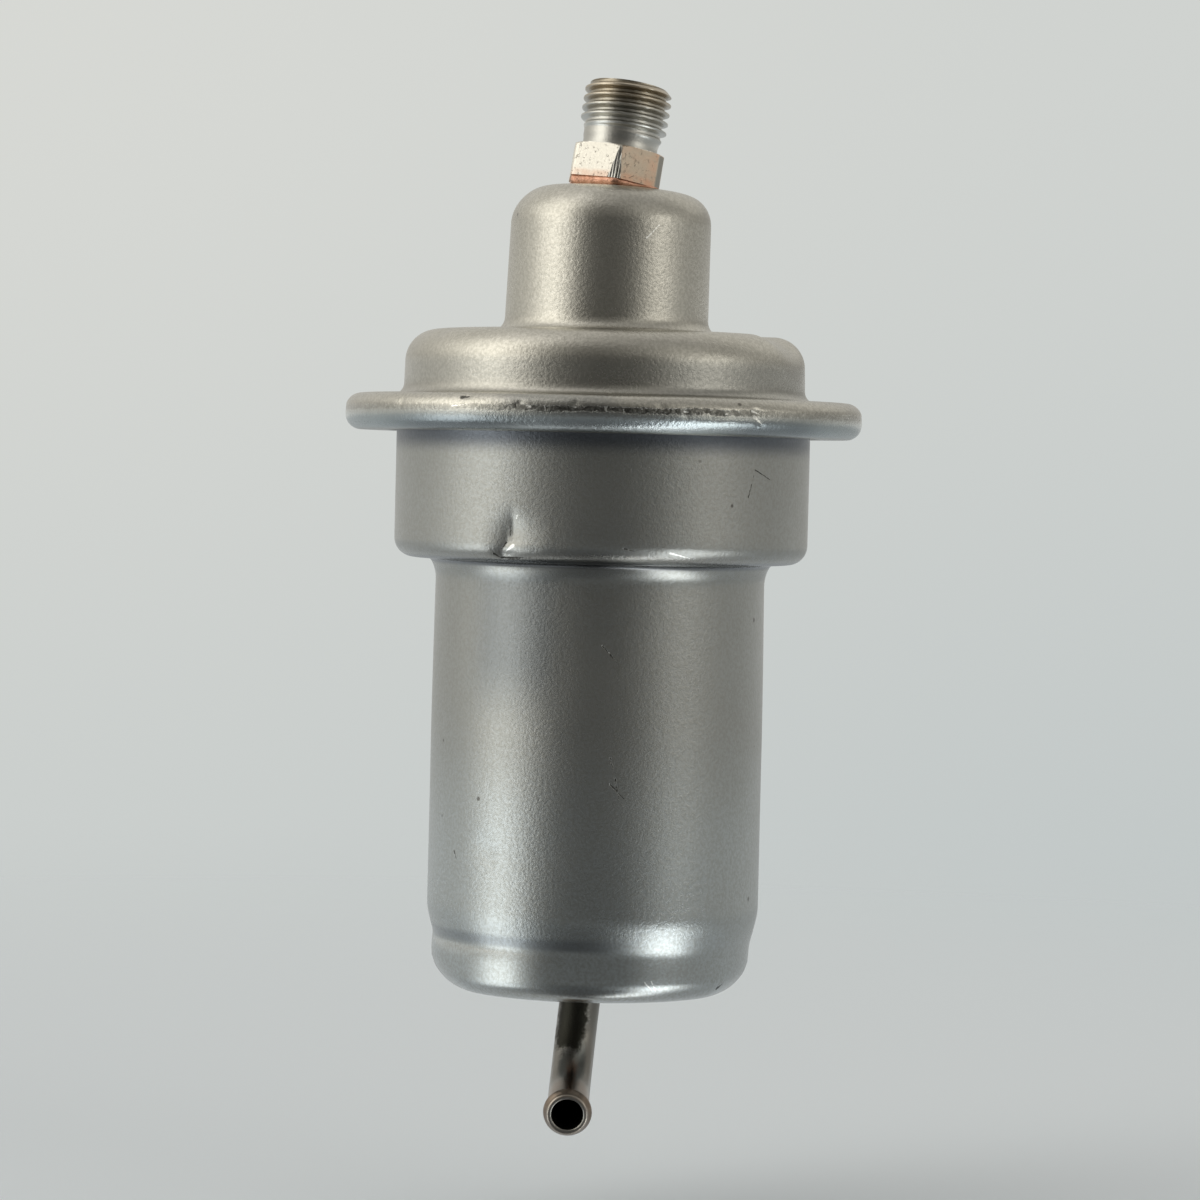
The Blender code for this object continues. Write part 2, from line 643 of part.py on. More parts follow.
def tube_path(extra):
    """Points and distances from the mouth along the vent tube, lengthened at both ends."""
    down = Vector((-math.sin(TUBE_LEAN), 0.0, -math.cos(TUBE_LEAN)))
    across = Vector((0.0, -1.0, 0.0))
    leave = Vector((TUBE_SIDE, 0.0, -CAN_LENGTH))
    inside = (SHEET + TUBE_INSIDE) / math.cos(TUBE_LEAN) + extra
    bend_start = leave + down * TUBE_DROP
    centre = bend_start + across * TUBE_BEND_RADIUS
    points = [leave - down * inside]
    bend_steps = 9
    for index in range(bend_steps + 1):
        angle = TUBE_BEND_ANGLE * index / bend_steps
        arm = down * math.sin(angle) - across * math.cos(angle)
        points.append(centre + arm * TUBE_BEND_RADIUS)
    out = down * math.cos(TUBE_BEND_ANGLE) + across * math.sin(TUBE_BEND_ANGLE)
    bend_end = points[-1]
    bead = TUBE_REACH - BEAD_SETBACK
    for share in (-1.0, -0.7, -0.35, 0.0, 0.35, 0.7, 1.0):
        points.append(bend_end + out * (bead + share * BEAD_HALF_WIDTH))
    points.append(bend_end + out * (TUBE_REACH + extra))
    distances = [(point - bend_end).dot(out) - bead for point in points]
    return points, distances


def vent_tube():
    """Bent tube with a rounded hose bead just behind its mouth."""
    points, distances = tube_path(0.0)
    rise = BEAD_RADIUS - TUBE_RADIUS
    radii = []
    for distance in distances:
        share = min(abs(distance) / BEAD_HALF_WIDTH, 1.0)
        radii.append(TUBE_RADIUS + rise * math.cos(share * math.pi / 2) ** 1.5)
    tube = swept("vent_tube", points, radii, 16, TUBE_STEEL)
    bore_points, _ = tube_path(TUBE_RADIUS)
    bore_radii = [TUBE_BORE] * len(bore_points)
    bore = swept("tube_bore", bore_points, bore_radii, 16, None)
    return boolean(tube, bore, "DIFFERENCE")


def vent_braze():
    """Copper fillet round the vent tube, under the can's end."""
    inner = TUBE_RADIUS + 1.5 * GAP
    top = -CAN_LENGTH - GAP
    outline = [
        (inner + VENT_BRAZE_WIDTH, top),
        (inner + VENT_BRAZE_WIDTH * 0.45, top - VENT_BRAZE_HEIGHT * 0.3),
        (inner + VENT_BRAZE_WIDTH * 0.15, top - VENT_BRAZE_HEIGHT),
        (inner, top - VENT_BRAZE_HEIGHT),
        (inner, top),
    ]
    ring = turned("vent_braze", outline, BRAZE_COPPER, closed=True)
    ring.location.x = TUBE_SIDE
    return ring


def moving_group(pieces):
    """Hang the pieces that travel together from one empty on the can's axis."""
    carrier = bpy.data.objects.new("diaphragm_carrier", None)
    PARTS.objects.link(carrier)
    for piece in pieces:
        piece.parent = carrier


def build():
    """Make every piece of the accumulator."""
    cover_shell()
    spring_can()
    inlet_union()
    union_braze()
    guide_plate()
    diaphragm()
    plate = washer("pressure_plate", PLATE_RADIUS, RIVET_HOLE, PLATE_TOP, PLATE_THICKNESS, PRESSED_STEEL)
    cup = spring_cup()
    rivet = diaphragm_rivet()
    ring_top = CUP_UNDERSIDE - GAP
    ring = washer("rivet_washer", WASHER_RADIUS, RIVET_HOLE, ring_top, WASHER_THICKNESS, SPRING_STEEL)
    moving_group([plate, cup, rivet, ring])
    main_spring()
    stop_sleeve()
    spring_seat()
    vent_tube()
    vent_braze()


build()
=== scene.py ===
"""Looks of the fuel accumulator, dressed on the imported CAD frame.

Lengths are in metres. An azimuth of 0 is the front (-Y) and grows to the right (+X).
"""

import json
import math

import bmesh
import bpy
import numpy as np
from mathutils import Matrix, Vector, noise


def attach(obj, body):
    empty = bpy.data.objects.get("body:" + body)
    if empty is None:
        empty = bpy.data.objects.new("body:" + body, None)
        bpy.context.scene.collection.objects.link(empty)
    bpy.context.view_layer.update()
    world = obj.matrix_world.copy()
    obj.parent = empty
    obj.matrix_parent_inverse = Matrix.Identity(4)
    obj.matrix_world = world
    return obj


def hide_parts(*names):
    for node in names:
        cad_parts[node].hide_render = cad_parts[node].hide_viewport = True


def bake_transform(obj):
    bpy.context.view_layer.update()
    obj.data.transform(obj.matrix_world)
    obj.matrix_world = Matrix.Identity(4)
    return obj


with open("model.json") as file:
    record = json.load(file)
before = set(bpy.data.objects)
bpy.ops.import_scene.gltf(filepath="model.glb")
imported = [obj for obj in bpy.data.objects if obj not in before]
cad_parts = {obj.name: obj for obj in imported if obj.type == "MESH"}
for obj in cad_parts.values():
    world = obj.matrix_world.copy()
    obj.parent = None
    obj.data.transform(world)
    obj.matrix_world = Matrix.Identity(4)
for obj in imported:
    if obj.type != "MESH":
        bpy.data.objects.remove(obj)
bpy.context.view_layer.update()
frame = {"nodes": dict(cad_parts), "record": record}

# Seam and cover
SHEET = 0.0012
SEAM_RADIUS = 0.0407
SEAM_HALF = 0.00285
SEAM_CORNER = 0.0024
FLANGE_EDGE = 0.0383
LIP_EDGE = 0.034
COVER_RADIUS = 0.03125
COVER_DRAFT = 0.0003
COVER_TOP = 0.01305
COVER_CORNER = 0.005
COVER_FOOT = 0.0017
DOME_RADIUS = 0.01562
DOME_DRAFT = 0.0004
DOME_TOP = 0.03545
DOME_CORNER = 0.0055
DOME_FOOT = 0.0022
DOME_LEAN = math.radians(1.7)
DOME_DISH = math.radians(3.2)
DISH_START = 0.009
UNION_HOLE = 0.0053

# Can: wide body, step, waisted barrel, neck and end, by radius and height
FLANGE_UNDERSIDE = -0.00135
BODY_RADIUS = 0.0325
BODY_DEPTH = 0.02245
BODY_BEND = 0.0012
STEP_CORNER = 0.003
STEP_FALL = 0.0003
STEP_RADIUS = 0.0268
STEP_FILLET = 0.001
WAIST_RADIUS = 0.02585
WAIST_HEIGHT = -0.0247
WAIST_BEND = 0.006
BARREL_RADIUS = 0.0261
BARREL_START = -0.05
NECK_START = -0.0774
NECK_RADIUS = 0.0251
NECK_HEIGHT = -0.0819
NECK_BEND = 0.01
END_RADIUS = 0.0248
END_CORNER = 0.0033
END_SHIFT = 0.00025
CAN_LENGTH = 0.0897

# Union, from its shank up to its thread
SHANK_RADIUS = 0.005
SHANK_BELOW = 0.0042
UNION_BORE = 0.004
SEAT_CONE_RADIUS = 0.0048
HEX_FLATS = 0.014
HEX_TURN = math.radians(2.5)
HEX_SEAT = 0.0009
HEX_TOP = 0.0063
RELIEF_TOP = 0.0092
UNION_TOP = 0.0167
THREAD_RADIUS = 0.0069
THREAD_PITCH = 0.0015
THREAD_LEAD = 0.0009
RELIEF_RADIUS = 0.0059

# Vent tube with its hose bead
TUBE_RADIUS = 0.00325
TUBE_BORE = 0.0024
TUBE_SIDE = -0.0014
TUBE_LEAN = math.radians(5.5)
TUBE_DROP = 0.0051
TUBE_BEND_RADIUS = 0.0115
TUBE_BEND_ANGLE = math.radians(81.0)
TUBE_REACH = 0.009
BEAD_RISE = 0.00055
BEAD_SETBACK = 0.0015
BEAD_HALF_WIDTH = 0.00125
RIM_ROUND = 0.0003

# Spring and rubber disc
WIRE = 0.0038
SPRING_RADIUS = 0.0181
SPRING_TURNS = 9.5
SPRING_TOP = 0.00315
SPRING_BOTTOM = -0.0852
RUBBER = 0.0012
DISC_HOLE = 0.0033
DISC_TOP = 0.00615
DISC_RIM_TOP = 0.00135
FOLD_INNER = 0.0231
FOLD_OUTER = 0.0297
FOLD_BOTTOM = -0.00505
FOLD_BEND = 0.003

# Camera, with its focal length and the row level with it in the photograph's pixels
PHOTO_WIDTH = 1200.0
PHOTO_FOCAL = 4007.0
PHOTO_LEVEL_ROW = 465.0
CAMERA_PLACE = (0.00006, -0.631, -0.0076)
CAMERA_ROLL = math.radians(1.35)

# Lean of the knocked union, and the frame that it is modelled in
UNION_LEAN_RIGHT = math.radians(8.0)
UNION_LEAN_BACK = math.radians(5.5)
LEAN_AXIS = Vector((math.tan(UNION_LEAN_RIGHT), math.tan(UNION_LEAN_BACK), 1.0)).normalized()
LEAN_WAY = Vector((LEAN_AXIS.x, LEAN_AXIS.y)).normalized()
DOME_SHIFT = LEAN_WAY * (DOME_TOP - COVER_TOP) * math.tan(DOME_LEAN)
UNION_FRAME = (
    Matrix.Translation((DOME_SHIFT.x, DOME_SHIFT.y, DOME_TOP))
    @ Vector((0.0, 0.0, 1.0)).rotation_difference(LEAN_AXIS).to_matrix().to_4x4()
)


# Node helpers
class Nodes:
    """Short way to add and join the nodes of one tree."""

    def __init__(self, tree):
        self.tree = tree

    def add(self, kind, **settings):
        """A node with its settings."""
        node = self.tree.nodes.new(kind)
        for name, value in settings.items():
            setattr(node, name, value)
        return node

    def join(self, source, target):
        """A link between two sockets."""
        self.tree.links.new(source, target)

    def fill(self, socket, value):
        """Link a socket, or set its own value; a colour is given without its alpha."""
        if isinstance(value, bpy.types.NodeSocket):
            self.join(value, socket)
        elif socket.type == "RGBA":
            socket.default_value = (*value, 1.0)
        else:
            socket.default_value = value

    def math(self, operation, first, second=0.0, third=0.0, clamp=False):
        """A number worked out from up to three others."""
        node = self.add("ShaderNodeMath", operation=operation, use_clamp=clamp)
        for socket, value in zip(node.inputs, (first, second, third)):
            self.fill(socket, value)
        return node.outputs[0]

    def times(self, *values):
        """The product of some numbers."""
        product = values[0]
        for value in values[1:]:
            product = self.math("MULTIPLY", product, value)
        return product

    def most(self, *values):
        """The largest of some numbers."""
        largest = values[0]
        for value in values[1:]:
            largest = self.math("MAXIMUM", largest, value)
        return largest

    def line(self, value, slope, start):
        """A number times a slope, plus a start."""
        return self.math("MULTIPLY_ADD", value, slope, start)

    def vector(self, operation, first, second=(0.0, 0.0, 0.0)):
        """A vector node of two vectors."""
        node = self.add("ShaderNodeVectorMath", operation=operation)
        self.fill(node.inputs[0], first)
        self.fill(node.inputs[1], second)
        return node

    def scale(self, first, amount):
        """A vector times a number."""
        node = self.add("ShaderNodeVectorMath", operation="SCALE")
        self.fill(node.inputs[0], first)
        self.fill(node.inputs["Scale"], amount)
        return node.outputs[0]

    def ramp(self, value, low, high, start=0.0, end=1.0):
        """An eased step from start to end as the value goes from low to high."""
        node = self.add("ShaderNodeMapRange", interpolation_type="SMOOTHSTEP", clamp=True)
        for socket, amount in zip(node.inputs, (value, low, high, start, end)):
            self.fill(socket, amount)
        return node.outputs[0]

    def band(self, value, middle, half, soft):
        """1 within half of the middle, easing to 0 over the soft width."""
        off = self.math("ABSOLUTE", self.math("SUBTRACT", value, middle))
        return self.ramp(off, half, self.math("ADD", half, soft), 1.0, 0.0)

    def mix(self, share, first, second):
        """A colour between two."""
        node = self.add("ShaderNodeMix", data_type="RGBA")
        self.fill(node.inputs["Factor"], share)
        self.fill(node.inputs[6], first)
        self.fill(node.inputs[7], second)
        return node.outputs[2]

    def lay(self, tone, mask, share, colour):
        """A colour laid over a tone through a share of a mask."""
        return self.mix(self.times(mask, share), tone, colour)

    def noise(self, place, scale, detail=2.0, roughness=0.5):
        """Noise from 0 to 1 at a place."""
        node = self.add("ShaderNodeTexNoise")
        self.fill(node.inputs["Vector"], place)
        self.fill(node.inputs["Scale"], scale)
        self.fill(node.inputs["Detail"], detail)
        self.fill(node.inputs["Roughness"], roughness)
        return node.outputs["Fac"]

    def attribute(self, name):
        """A number painted on the mesh."""
        return self.add("ShaderNodeAttribute", attribute_name=name).outputs["Fac"]

    def group(self, tree, **inputs):
        """A node group with its inputs filled."""
        node = self.add("ShaderNodeGroup", node_tree=tree)
        for name, value in inputs.items():
            self.fill(node.inputs[name], value)
        return node.outputs


def new_group(name, inputs, outputs):
    """An empty node group with named sockets."""
    tree = bpy.data.node_groups.new(name, "ShaderNodeTree")
    for label, kind, default in inputs:
        socket = tree.interface.new_socket(label, in_out="INPUT", socket_type=kind)
        if default is not None:
            socket.default_value = default
    for label, kind in outputs:
        tree.interface.new_socket(label, in_out="OUTPUT", socket_type=kind)
    nodes = Nodes(tree)
    given = nodes.add("NodeGroupInput").outputs
    out = nodes.add("NodeGroupOutput").inputs
    return tree, nodes, given, out


# Shared effects, each a mask or a height
def grain_group():
    """Fine grain, cloudy patches and dark specks of a metal, in object space."""
    tree, n, given, out = new_group(
        "metal_grain",
        [
            ("Position", "NodeSocketVector", None),
            ("Size", "NodeSocketFloat", 0.0003),
            ("Amount", "NodeSocketFloat", 0.5),
        ],
        [("Grain", "NodeSocketFloat"), ("Clouds", "NodeSocketFloat"), ("Specks", "NodeSocketFloat")],
    )
    fine = n.noise(given["Position"], n.math("DIVIDE", 1.0, given["Size"]), 3.0, 0.65)
    n.join(fine, out["Grain"])
    n.join(n.noise(given["Position"], 55.0, 4.0, 0.6), out["Clouds"])
    cells = n.add("ShaderNodeTexVoronoi", feature="F1")
    n.join(given["Position"], cells.inputs["Vector"])
    cells.inputs["Scale"].default_value = 210.0
    chance = n.add("ShaderNodeSeparateColor")
    n.join(cells.outputs["Color"], chance.inputs[0])
    chosen = n.math("LESS_THAN", chance.outputs[0], n.times(given["Amount"], 0.3))
    size = n.line(chance.outputs[1], 0.04, 0.012)
    dot = n.ramp(cells.outputs["Distance"], size, n.times(size, 2.2), 1.0, 0.0)
    n.join(n.times(dot, chosen), out["Specks"])
    return tree


def hairline_group():
    """Thin random scratches that run mostly one way, as a mask."""
    tree, n, given, out = new_group(
        "hairlines",
        [
            ("Position", "NodeSocketVector", None),
            ("Stretch", "NodeSocketVector", (1.0, 1.0, 0.1)),
            ("Amount", "NodeSocketFloat", 0.5),
        ],
        [("Scratches", "NodeSocketFloat")],
    )
    wander = n.noise(given["Position"], 40.0, 2.0)
    bent = n.vector("ADD", given["Position"], n.scale((0.004, 0.003, 0.005), wander)).outputs[0]
    lines = n.noise(n.vector("MULTIPLY", bent, given["Stretch"]).outputs[0], 900.0, 2.0, 0.7)
    ridge = n.math("ABSOLUTE", n.math("SUBTRACT", lines, 0.5))
    thin = n.ramp(ridge, 0.0, 0.012, 1.0, 0.0)
    low = n.line(given["Amount"], -0.3, 0.75)
    here = n.ramp(n.noise(given["Position"], 160.0, 2.0), low, n.math("ADD", low, 0.08))
    n.join(n.times(thin, here), out["Scratches"])
    return tree


def stroke_group():
    """One scratch between two points of the unrolled surface, as a mask."""
    tree, n, given, out = new_group(
        "stroke",
        [
            ("Place", "NodeSocketVector", None),
            ("Start", "NodeSocketVector", None),
            ("End", "NodeSocketVector", None),
            ("Width", "NodeSocketFloat", 0.0001),
        ],
        [("Stroke", "NodeSocketFloat")],
    )
    along = n.vector("SUBTRACT", given["End"], given["Start"]).outputs[0]
    here = n.vector("SUBTRACT", given["Place"], given["Start"]).outputs[0]
    top = n.vector("DOT_PRODUCT", here, along).outputs["Value"]
    bottom = n.vector("DOT_PRODUCT", along, along).outputs["Value"]
    share = n.math("DIVIDE", top, bottom, clamp=True)
    gap = n.vector("SUBTRACT", here, n.scale(along, share)).outputs[0]
    wobble = n.line(n.noise(given["Place"], 2600.0, 1.0), 0.00024, -0.00012)
    distance = n.math("ADD", n.vector("LENGTH", gap).outputs["Value"], wobble)
    taper = n.times(given["Width"], n.math("SUBTRACT", 1.25, share))
    n.join(n.ramp(distance, n.times(taper, 0.4), taper, 1.0, 0.0), out["Stroke"])
    return tree


def unrolled_group():
    """The way round the axis, the height, the radius and the distance to the right of a point."""
    tree, n, given, out = new_group(
        "unrolled",
        [("Position", "NodeSocketVector", None)],
        [
            ("Place", "NodeSocketVector"),
            ("Height", "NodeSocketFloat"),
            ("Radius", "NodeSocketFloat"),
            ("Side", "NodeSocketFloat"),
        ],
    )
    parts = n.add("ShaderNodeSeparateXYZ")
    n.join(given["Position"], parts.inputs[0])
    back = n.times(parts.outputs["Y"], -1.0)
    turn = n.math("ARCTAN2", parts.outputs["X"], back)
    level = n.add("ShaderNodeCombineXYZ")
    n.join(parts.outputs["X"], level.inputs["X"])
    n.join(parts.outputs["Y"], level.inputs["Y"])
    radius = n.vector("LENGTH", level.outputs[0]).outputs["Value"]
    place = n.add("ShaderNodeCombineXYZ")
    n.join(n.times(turn, radius), place.inputs["X"])
    n.join(parts.outputs["Z"], place.inputs["Y"])
    n.join(place.outputs[0], out["Place"])
    n.join(parts.outputs["Z"], out["Height"])
    n.join(radius, out["Radius"])
    n.join(parts.outputs["X"], out["Side"])
    return tree


GRAIN = grain_group()
HAIRLINES = hairline_group()
STROKE = stroke_group()
UNROLLED = unrolled_group()


# Materials
def metal(name):
    """A metal to be filled in: its nodes, shader and object position."""
    material = bpy.data.materials.new(name)
    material.use_nodes = True
    n = Nodes(material.node_tree)
    shader = material.node_tree.nodes["Principled BSDF"]
    shader.inputs["Metallic"].default_value = 1.0
    place = n.add("ShaderNodeTexCoord").outputs["Object"]
    return material, n, shader, place


def finish(n, shader, tone, roughness, height, distance):
    """Give the shader its colour, its roughness and a bump from a height."""
    n.join(tone, shader.inputs["Base Color"])
    n.fill(shader.inputs["Roughness"], roughness)
    node = n.add("ShaderNodeBump")
    node.inputs["Distance"].default_value = distance
    n.join(height, node.inputs["Height"])
    n.join(node.outputs["Normal"], shader.inputs["Normal"])


# Dark scratches and bright scuffs on the shells, in millimetres and degrees:
# radius, azimuth and height of the start, azimuth and height of the end, width
DARK_STROKES = [
    (26.1, 1.4, -34.9, 4.4, -36.6, 0.14),
    (26.1, 3.6, -36.0, 6.6, -37.7, 0.1),
    (26.1, 4.8, -51.9, 6.2, -54.2, 0.1),
    (26.1, 5.0, -55.9, 10.3, -58.3, 0.14),
    (26.1, 6.6, -54.9, 8.0, -58.3, 0.1),
    (32.2, 6.2, -20.0, 9.0, -20.4, 0.12),
    (32.5, 45.4, -7.8, 51.9, -9.3, 0.1),
    (32.5, 43.0, -12.0, 45.4, -7.8, 0.08),
    (26.1, -55.6, -67.6, -54.0, -68.8, 0.12),
    (32.5, -24.7, -17.2, -24.8, -18.6, 0.09),
    (32.5, -26.0, -19.6, -27.4, -20.6, 0.12),
    (31.9, -30.4, -21.3, -27.8, -22.0, 0.14),
    (31.9, -28.0, -21.9, -19.4, -21.8, 0.16),
    (31.5, -26.0, -22.1, -22.0, -22.0, 0.12),
    (40.5, -31.6, 2.0, -29.8, 2.1, 0.3),
    (24.0, 54.0, -88.0, 57.5, -87.4, 0.25),
]
BRIGHT_STROKES = [
    (31.8, 19.2, -20.6, 24.8, -21.3, 0.16),
    (22.4, 21.5, -86.2, 24.5, -87.4, 0.14),
    (22.6, 24.0, -86.0, 26.0, -87.6, 0.1),
    (40.5, -12.5, 0.9, -12.1, -0.6, 0.1),
    (15.9, 22.0, 27.4, 30.0, 29.6, 0.14),
    (32.5, -24.0, -20.0, -26.4, -21.0, 0.3),
    (32.5, -22.9, -15.4, -23.2, -16.0, 0.12),
    (40.5, 33.6, 0.1, 35.6, -1.0, 0.3),
    (40.5, 33.0, 0.9, 35.0, 0.5, 0.16),
    (40.5, -34.0, 0.7, -31.0, 0.9, 0.1),
    (40.5, 17.0, 0.55, 18.0, 0.5, 0.14),
]


def stroke_marks(n, place, strokes):
    """All the scratches of a list as one mask."""
    marks = []
    for radius, first, top, second, bottom, width in strokes:
        reach = radius / 1000
        start = (math.radians(first) * reach, top / 1000, 0.0)
        end = (math.radians(second) * reach, bottom / 1000, 0.0)
        marks.append(n.group(STROKE, Place=place, Start=start, End=end, Width=width / 1000)["Stroke"])
    return n.most(*marks)


def corner_painted_shade(n, height, radius, side, cool):
    """Mask of painted shade, blue-black, in the corners: under the seam, under the step and left of
    the neck.
    """
    under_seam = n.times(n.ramp(height, -0.0066, -0.0036), n.ramp(radius, 0.0338, 0.0328), cool)
    under_step = n.times(n.band(height, -0.0227, 0.0002, 0.0007), 0.9)
    at_neck = n.times(n.band(height, -0.0807, 0.0003, 0.0011), n.ramp(side, 0.008, -0.004), 0.5)
    return n.most(under_seam, under_step, at_neck)


def highlight_painted_shade(n, height, side, roll, cool):
    """Mask of painted shade that dims the highlights on the barrel's top, the cover's wall and parts
    of the seam's roll.
    """
    barrel_top = n.times(n.ramp(height, -0.0235, -0.0255), n.ramp(height, -0.049, -0.037))
    barrel_top = n.times(barrel_top, n.band(side, -0.0125, 0.0035, 0.005), 0.9)
    cover_wall = n.band(height, 0.0055, 0.0015, 0.0025)
    cover_wall = n.times(cover_wall, n.ramp(side, 0.005, 0.013, 0.35, 0.65))
    right_roll = n.times(n.band(side, 0.0255, 0.003, 0.006), 0.9)
    under_roll = n.times(n.most(n.band(side, -0.0225, 0.004, 0.009), right_roll), cool)
    over_roll = n.times(n.band(side, -0.007, 0.006, 0.005), n.math("SUBTRACT", 0.7, cool))
    return n.most(barrel_top, cover_wall, n.times(n.most(under_roll, over_roll), roll))


def rolled_line(n, place, height, ragged):
    """Masks of the rough dark line where the cover's flange was rolled over, and of its bare nicks."""
    middle = n.line(n.noise(place, 160.0, 2.0), 0.0007, 0.00022)
    half = n.line(ragged, 0.0014, -0.00044)
    line = n.times(n.band(height, middle, half, 0.0003), n.attribute("scuffed"))
    worn = n.ramp(n.noise(place, 1100.0, 3.0, 0.7), 0.34, 0.6, 0.45, 1.0)
    nicks = n.ramp(n.noise(place, 800.0, 2.0), 0.64, 0.68)
    return n.times(line, worn), n.times(nicks, line)


def satin_steel():
    """Dull drawn sheet, shinier on the cover, the seam's roll and the can's end."""
    material, n, shader, place = metal("satin_steel")
    grain = n.group(GRAIN, Position=place, Size=0.0005, Amount=0.8)
    unrolled = n.group(UNROLLED, Position=place)
    height = unrolled["Height"]
    radius = unrolled["Radius"]
    side = unrolled["Side"]
    cool = n.ramp(height, 0.0012, -0.0016)
    roll = n.ramp(radius, 0.0385, 0.0395)
    clouds = n.ramp(grain["Clouds"], 0.3, 0.7)
    ragged = n.noise(place, 1500.0, 3.0, 0.7)

    # Tone: warm on the cover, neutral on the body and cooler towards the can's end
    tone = n.mix(cool, (0.57, 0.55, 0.49), (0.37, 0.375, 0.36))
    tone = n.lay(tone, n.ramp(height, -0.045, -0.07), 0.8, (0.47, 0.5, 0.5))
    tone = n.mix(clouds, n.mix(0.16, tone, (0.34, 0.32, 0.28)), tone)
    tone = n.lay(tone, n.ramp(grain["Grain"], 0.36, 0.64), 0.36, (0.27, 0.26, 0.22))
    tone = n.lay(tone, grain["Specks"], 0.75, (0.08, 0.07, 0.06))
    # Painted shade, blue-black, under the seam, under the step and in the neck's fold on the left
    tone = n.lay(tone, corner_painted_shade(n, height, radius, side, cool), 0.72, (0.07, 0.085, 0.115))

    # Painted reflection: the seam's roll is painted cooler underneath, and paler, a painted sheen, at
    # the front and the back
    roll_underside_painted_cool = n.times(roll, cool)
    tone = n.lay(tone, roll_underside_painted_cool, 0.45, (0.39, 0.46, 0.48))
    roll_painted_sheen = n.times(n.band(side, 0.001, 0.009, 0.008), 0.5)
    tone = n.lay(tone, roll_underside_painted_cool, roll_painted_sheen, (0.78, 0.85, 0.87))
    # Painted shade that dims the highlights on the barrel's top, the cover's wall and parts of the
    # seam's roll
    tone = n.lay(tone, highlight_painted_shade(n, height, side, roll, cool), 0.55, (0.11, 0.125, 0.14))

    line, nicks = rolled_line(n, place, height, ragged)
    dark = n.most(stroke_marks(n, unrolled["Place"], DARK_STROKES), line)
    bright = n.most(stroke_marks(n, unrolled["Place"], BRIGHT_STROKES), nicks)
    tone = n.lay(tone, dark, 0.9, (0.05, 0.048, 0.042))
    tone = n.lay(tone, bright, 0.8, (0.86, 0.86, 0.82))

    # Roughness: the can's wall is duller than the cover, and the step, the roll and the end shinier
    wall = n.math("SUBTRACT", n.ramp(height, -0.0005, -0.0035), n.ramp(height, -0.05, -0.08))
    end = n.ramp(height, -0.078, -0.082)
    step = n.band(height, -0.0228, 0.0009, 0.0024)
    rough = n.line(wall, 0.08, 0.26)
    shinier = [(end, -0.05), (step, -0.11), (roll, -0.06), (clouds, -0.04)]
    duller = [(grain["Grain"], 0.1), (dark, 0.1)]
    for mask, change in shinier + duller:
        rough = n.line(mask, change, rough)

    formed = n.most(end, n.band(height, -0.0235, 0.001, 0.0015))
    level = n.times(grain["Grain"], n.line(formed, -0.75, 1.0))
    level = n.line(ragged, roll, n.line(dark, -1.0, level))
    finish(n, shader, tone, rough, level, 0.00005)
    return material


def union_steel():
    """Turned steel with bleached flats, copper that crept up the hexagon and bare gouges."""
    material, n, shader, place = metal("union_steel")
    grain = n.group(GRAIN, Position=place, Size=0.0003, Amount=0.5)
    flats = n.attribute("flats")
    blotch = n.ramp(n.noise(place, 420.0, 4.0, 0.65), 0.36, 0.6)
    pits = n.times(n.ramp(n.noise(place, 1700.0, 3.0, 0.7), 0.6, 0.68), flats)
    tone = n.mix(flats, (0.52, 0.51, 0.47), (0.84, 0.8, 0.71))
    tone = n.mix(n.attribute("worn"), tone, (0.5, 0.42, 0.31))
    tone = n.lay(tone, n.attribute("copper"), n.line(blotch, 0.6, 0.4), (0.72, 0.44, 0.3))
    tone = n.lay(tone, pits, 0.45, (0.34, 0.28, 0.22))
    # Soot, partly painted shade: darker in the thread's roots, the hexagon's groove and its crushed
    # corner
    tone = n.mix(n.attribute("soot_and_shade"), tone, (0.17, 0.15, 0.11))
    tone = n.lay(tone, grain["Specks"], 0.6, (0.12, 0.1, 0.08))
    finish(n, shader, tone, n.line(flats, 0.2, 0.28), n.line(pits, -1.5, grain["Grain"]), 0.00003)
    return material


def braze_copper():
    """Copper braze: lumpy, part bright orange and part dark."""
    material, n, shader, place = metal("braze_copper")
    grain = n.group(GRAIN, Position=place, Size=0.0005, Amount=0.8)
    patches = n.ramp(n.noise(place, 900.0, 3.0), 0.35, 0.65)
    tone = n.mix(patches, (0.5, 0.26, 0.17), (0.76, 0.43, 0.3))
    tone = n.lay(tone, grain["Specks"], 0.7, (0.14, 0.07, 0.05))
    finish(n, shader, tone, 0.42, grain["Grain"], 0.0001)
    return material


def tube_steel():
    """Dull nickel over steel, stained dark on the front just under the can."""
    material, n, shader, place = metal("tube_steel")
    grain = n.group(GRAIN, Position=place, Size=0.0003, Amount=0.6)
    ragged = n.line(n.noise(place, 700.0, 4.0, 0.75), 1.5, -0.75)
    stain = n.ramp(n.math("ADD", n.attribute("stain"), ragged), 0.15, 0.75)
    clouds = n.ramp(grain["Clouds"], 0.3, 0.7)
    tone = n.mix(clouds, (0.16, 0.15, 0.13), (0.23, 0.22, 0.2))
    tone = n.lay(tone, n.attribute("brown"), 0.7, (0.23, 0.17, 0.125))
    tone = n.lay(tone, stain, 0.93, (0.025, 0.024, 0.018))
    tone = n.mix(n.attribute("bright"), tone, (0.6, 0.58, 0.53))
    finish(n, shader, tone, n.line(stain, 0.22, 0.28), n.line(stain, 1.5, grain["Grain"]), 0.00004)
    return material


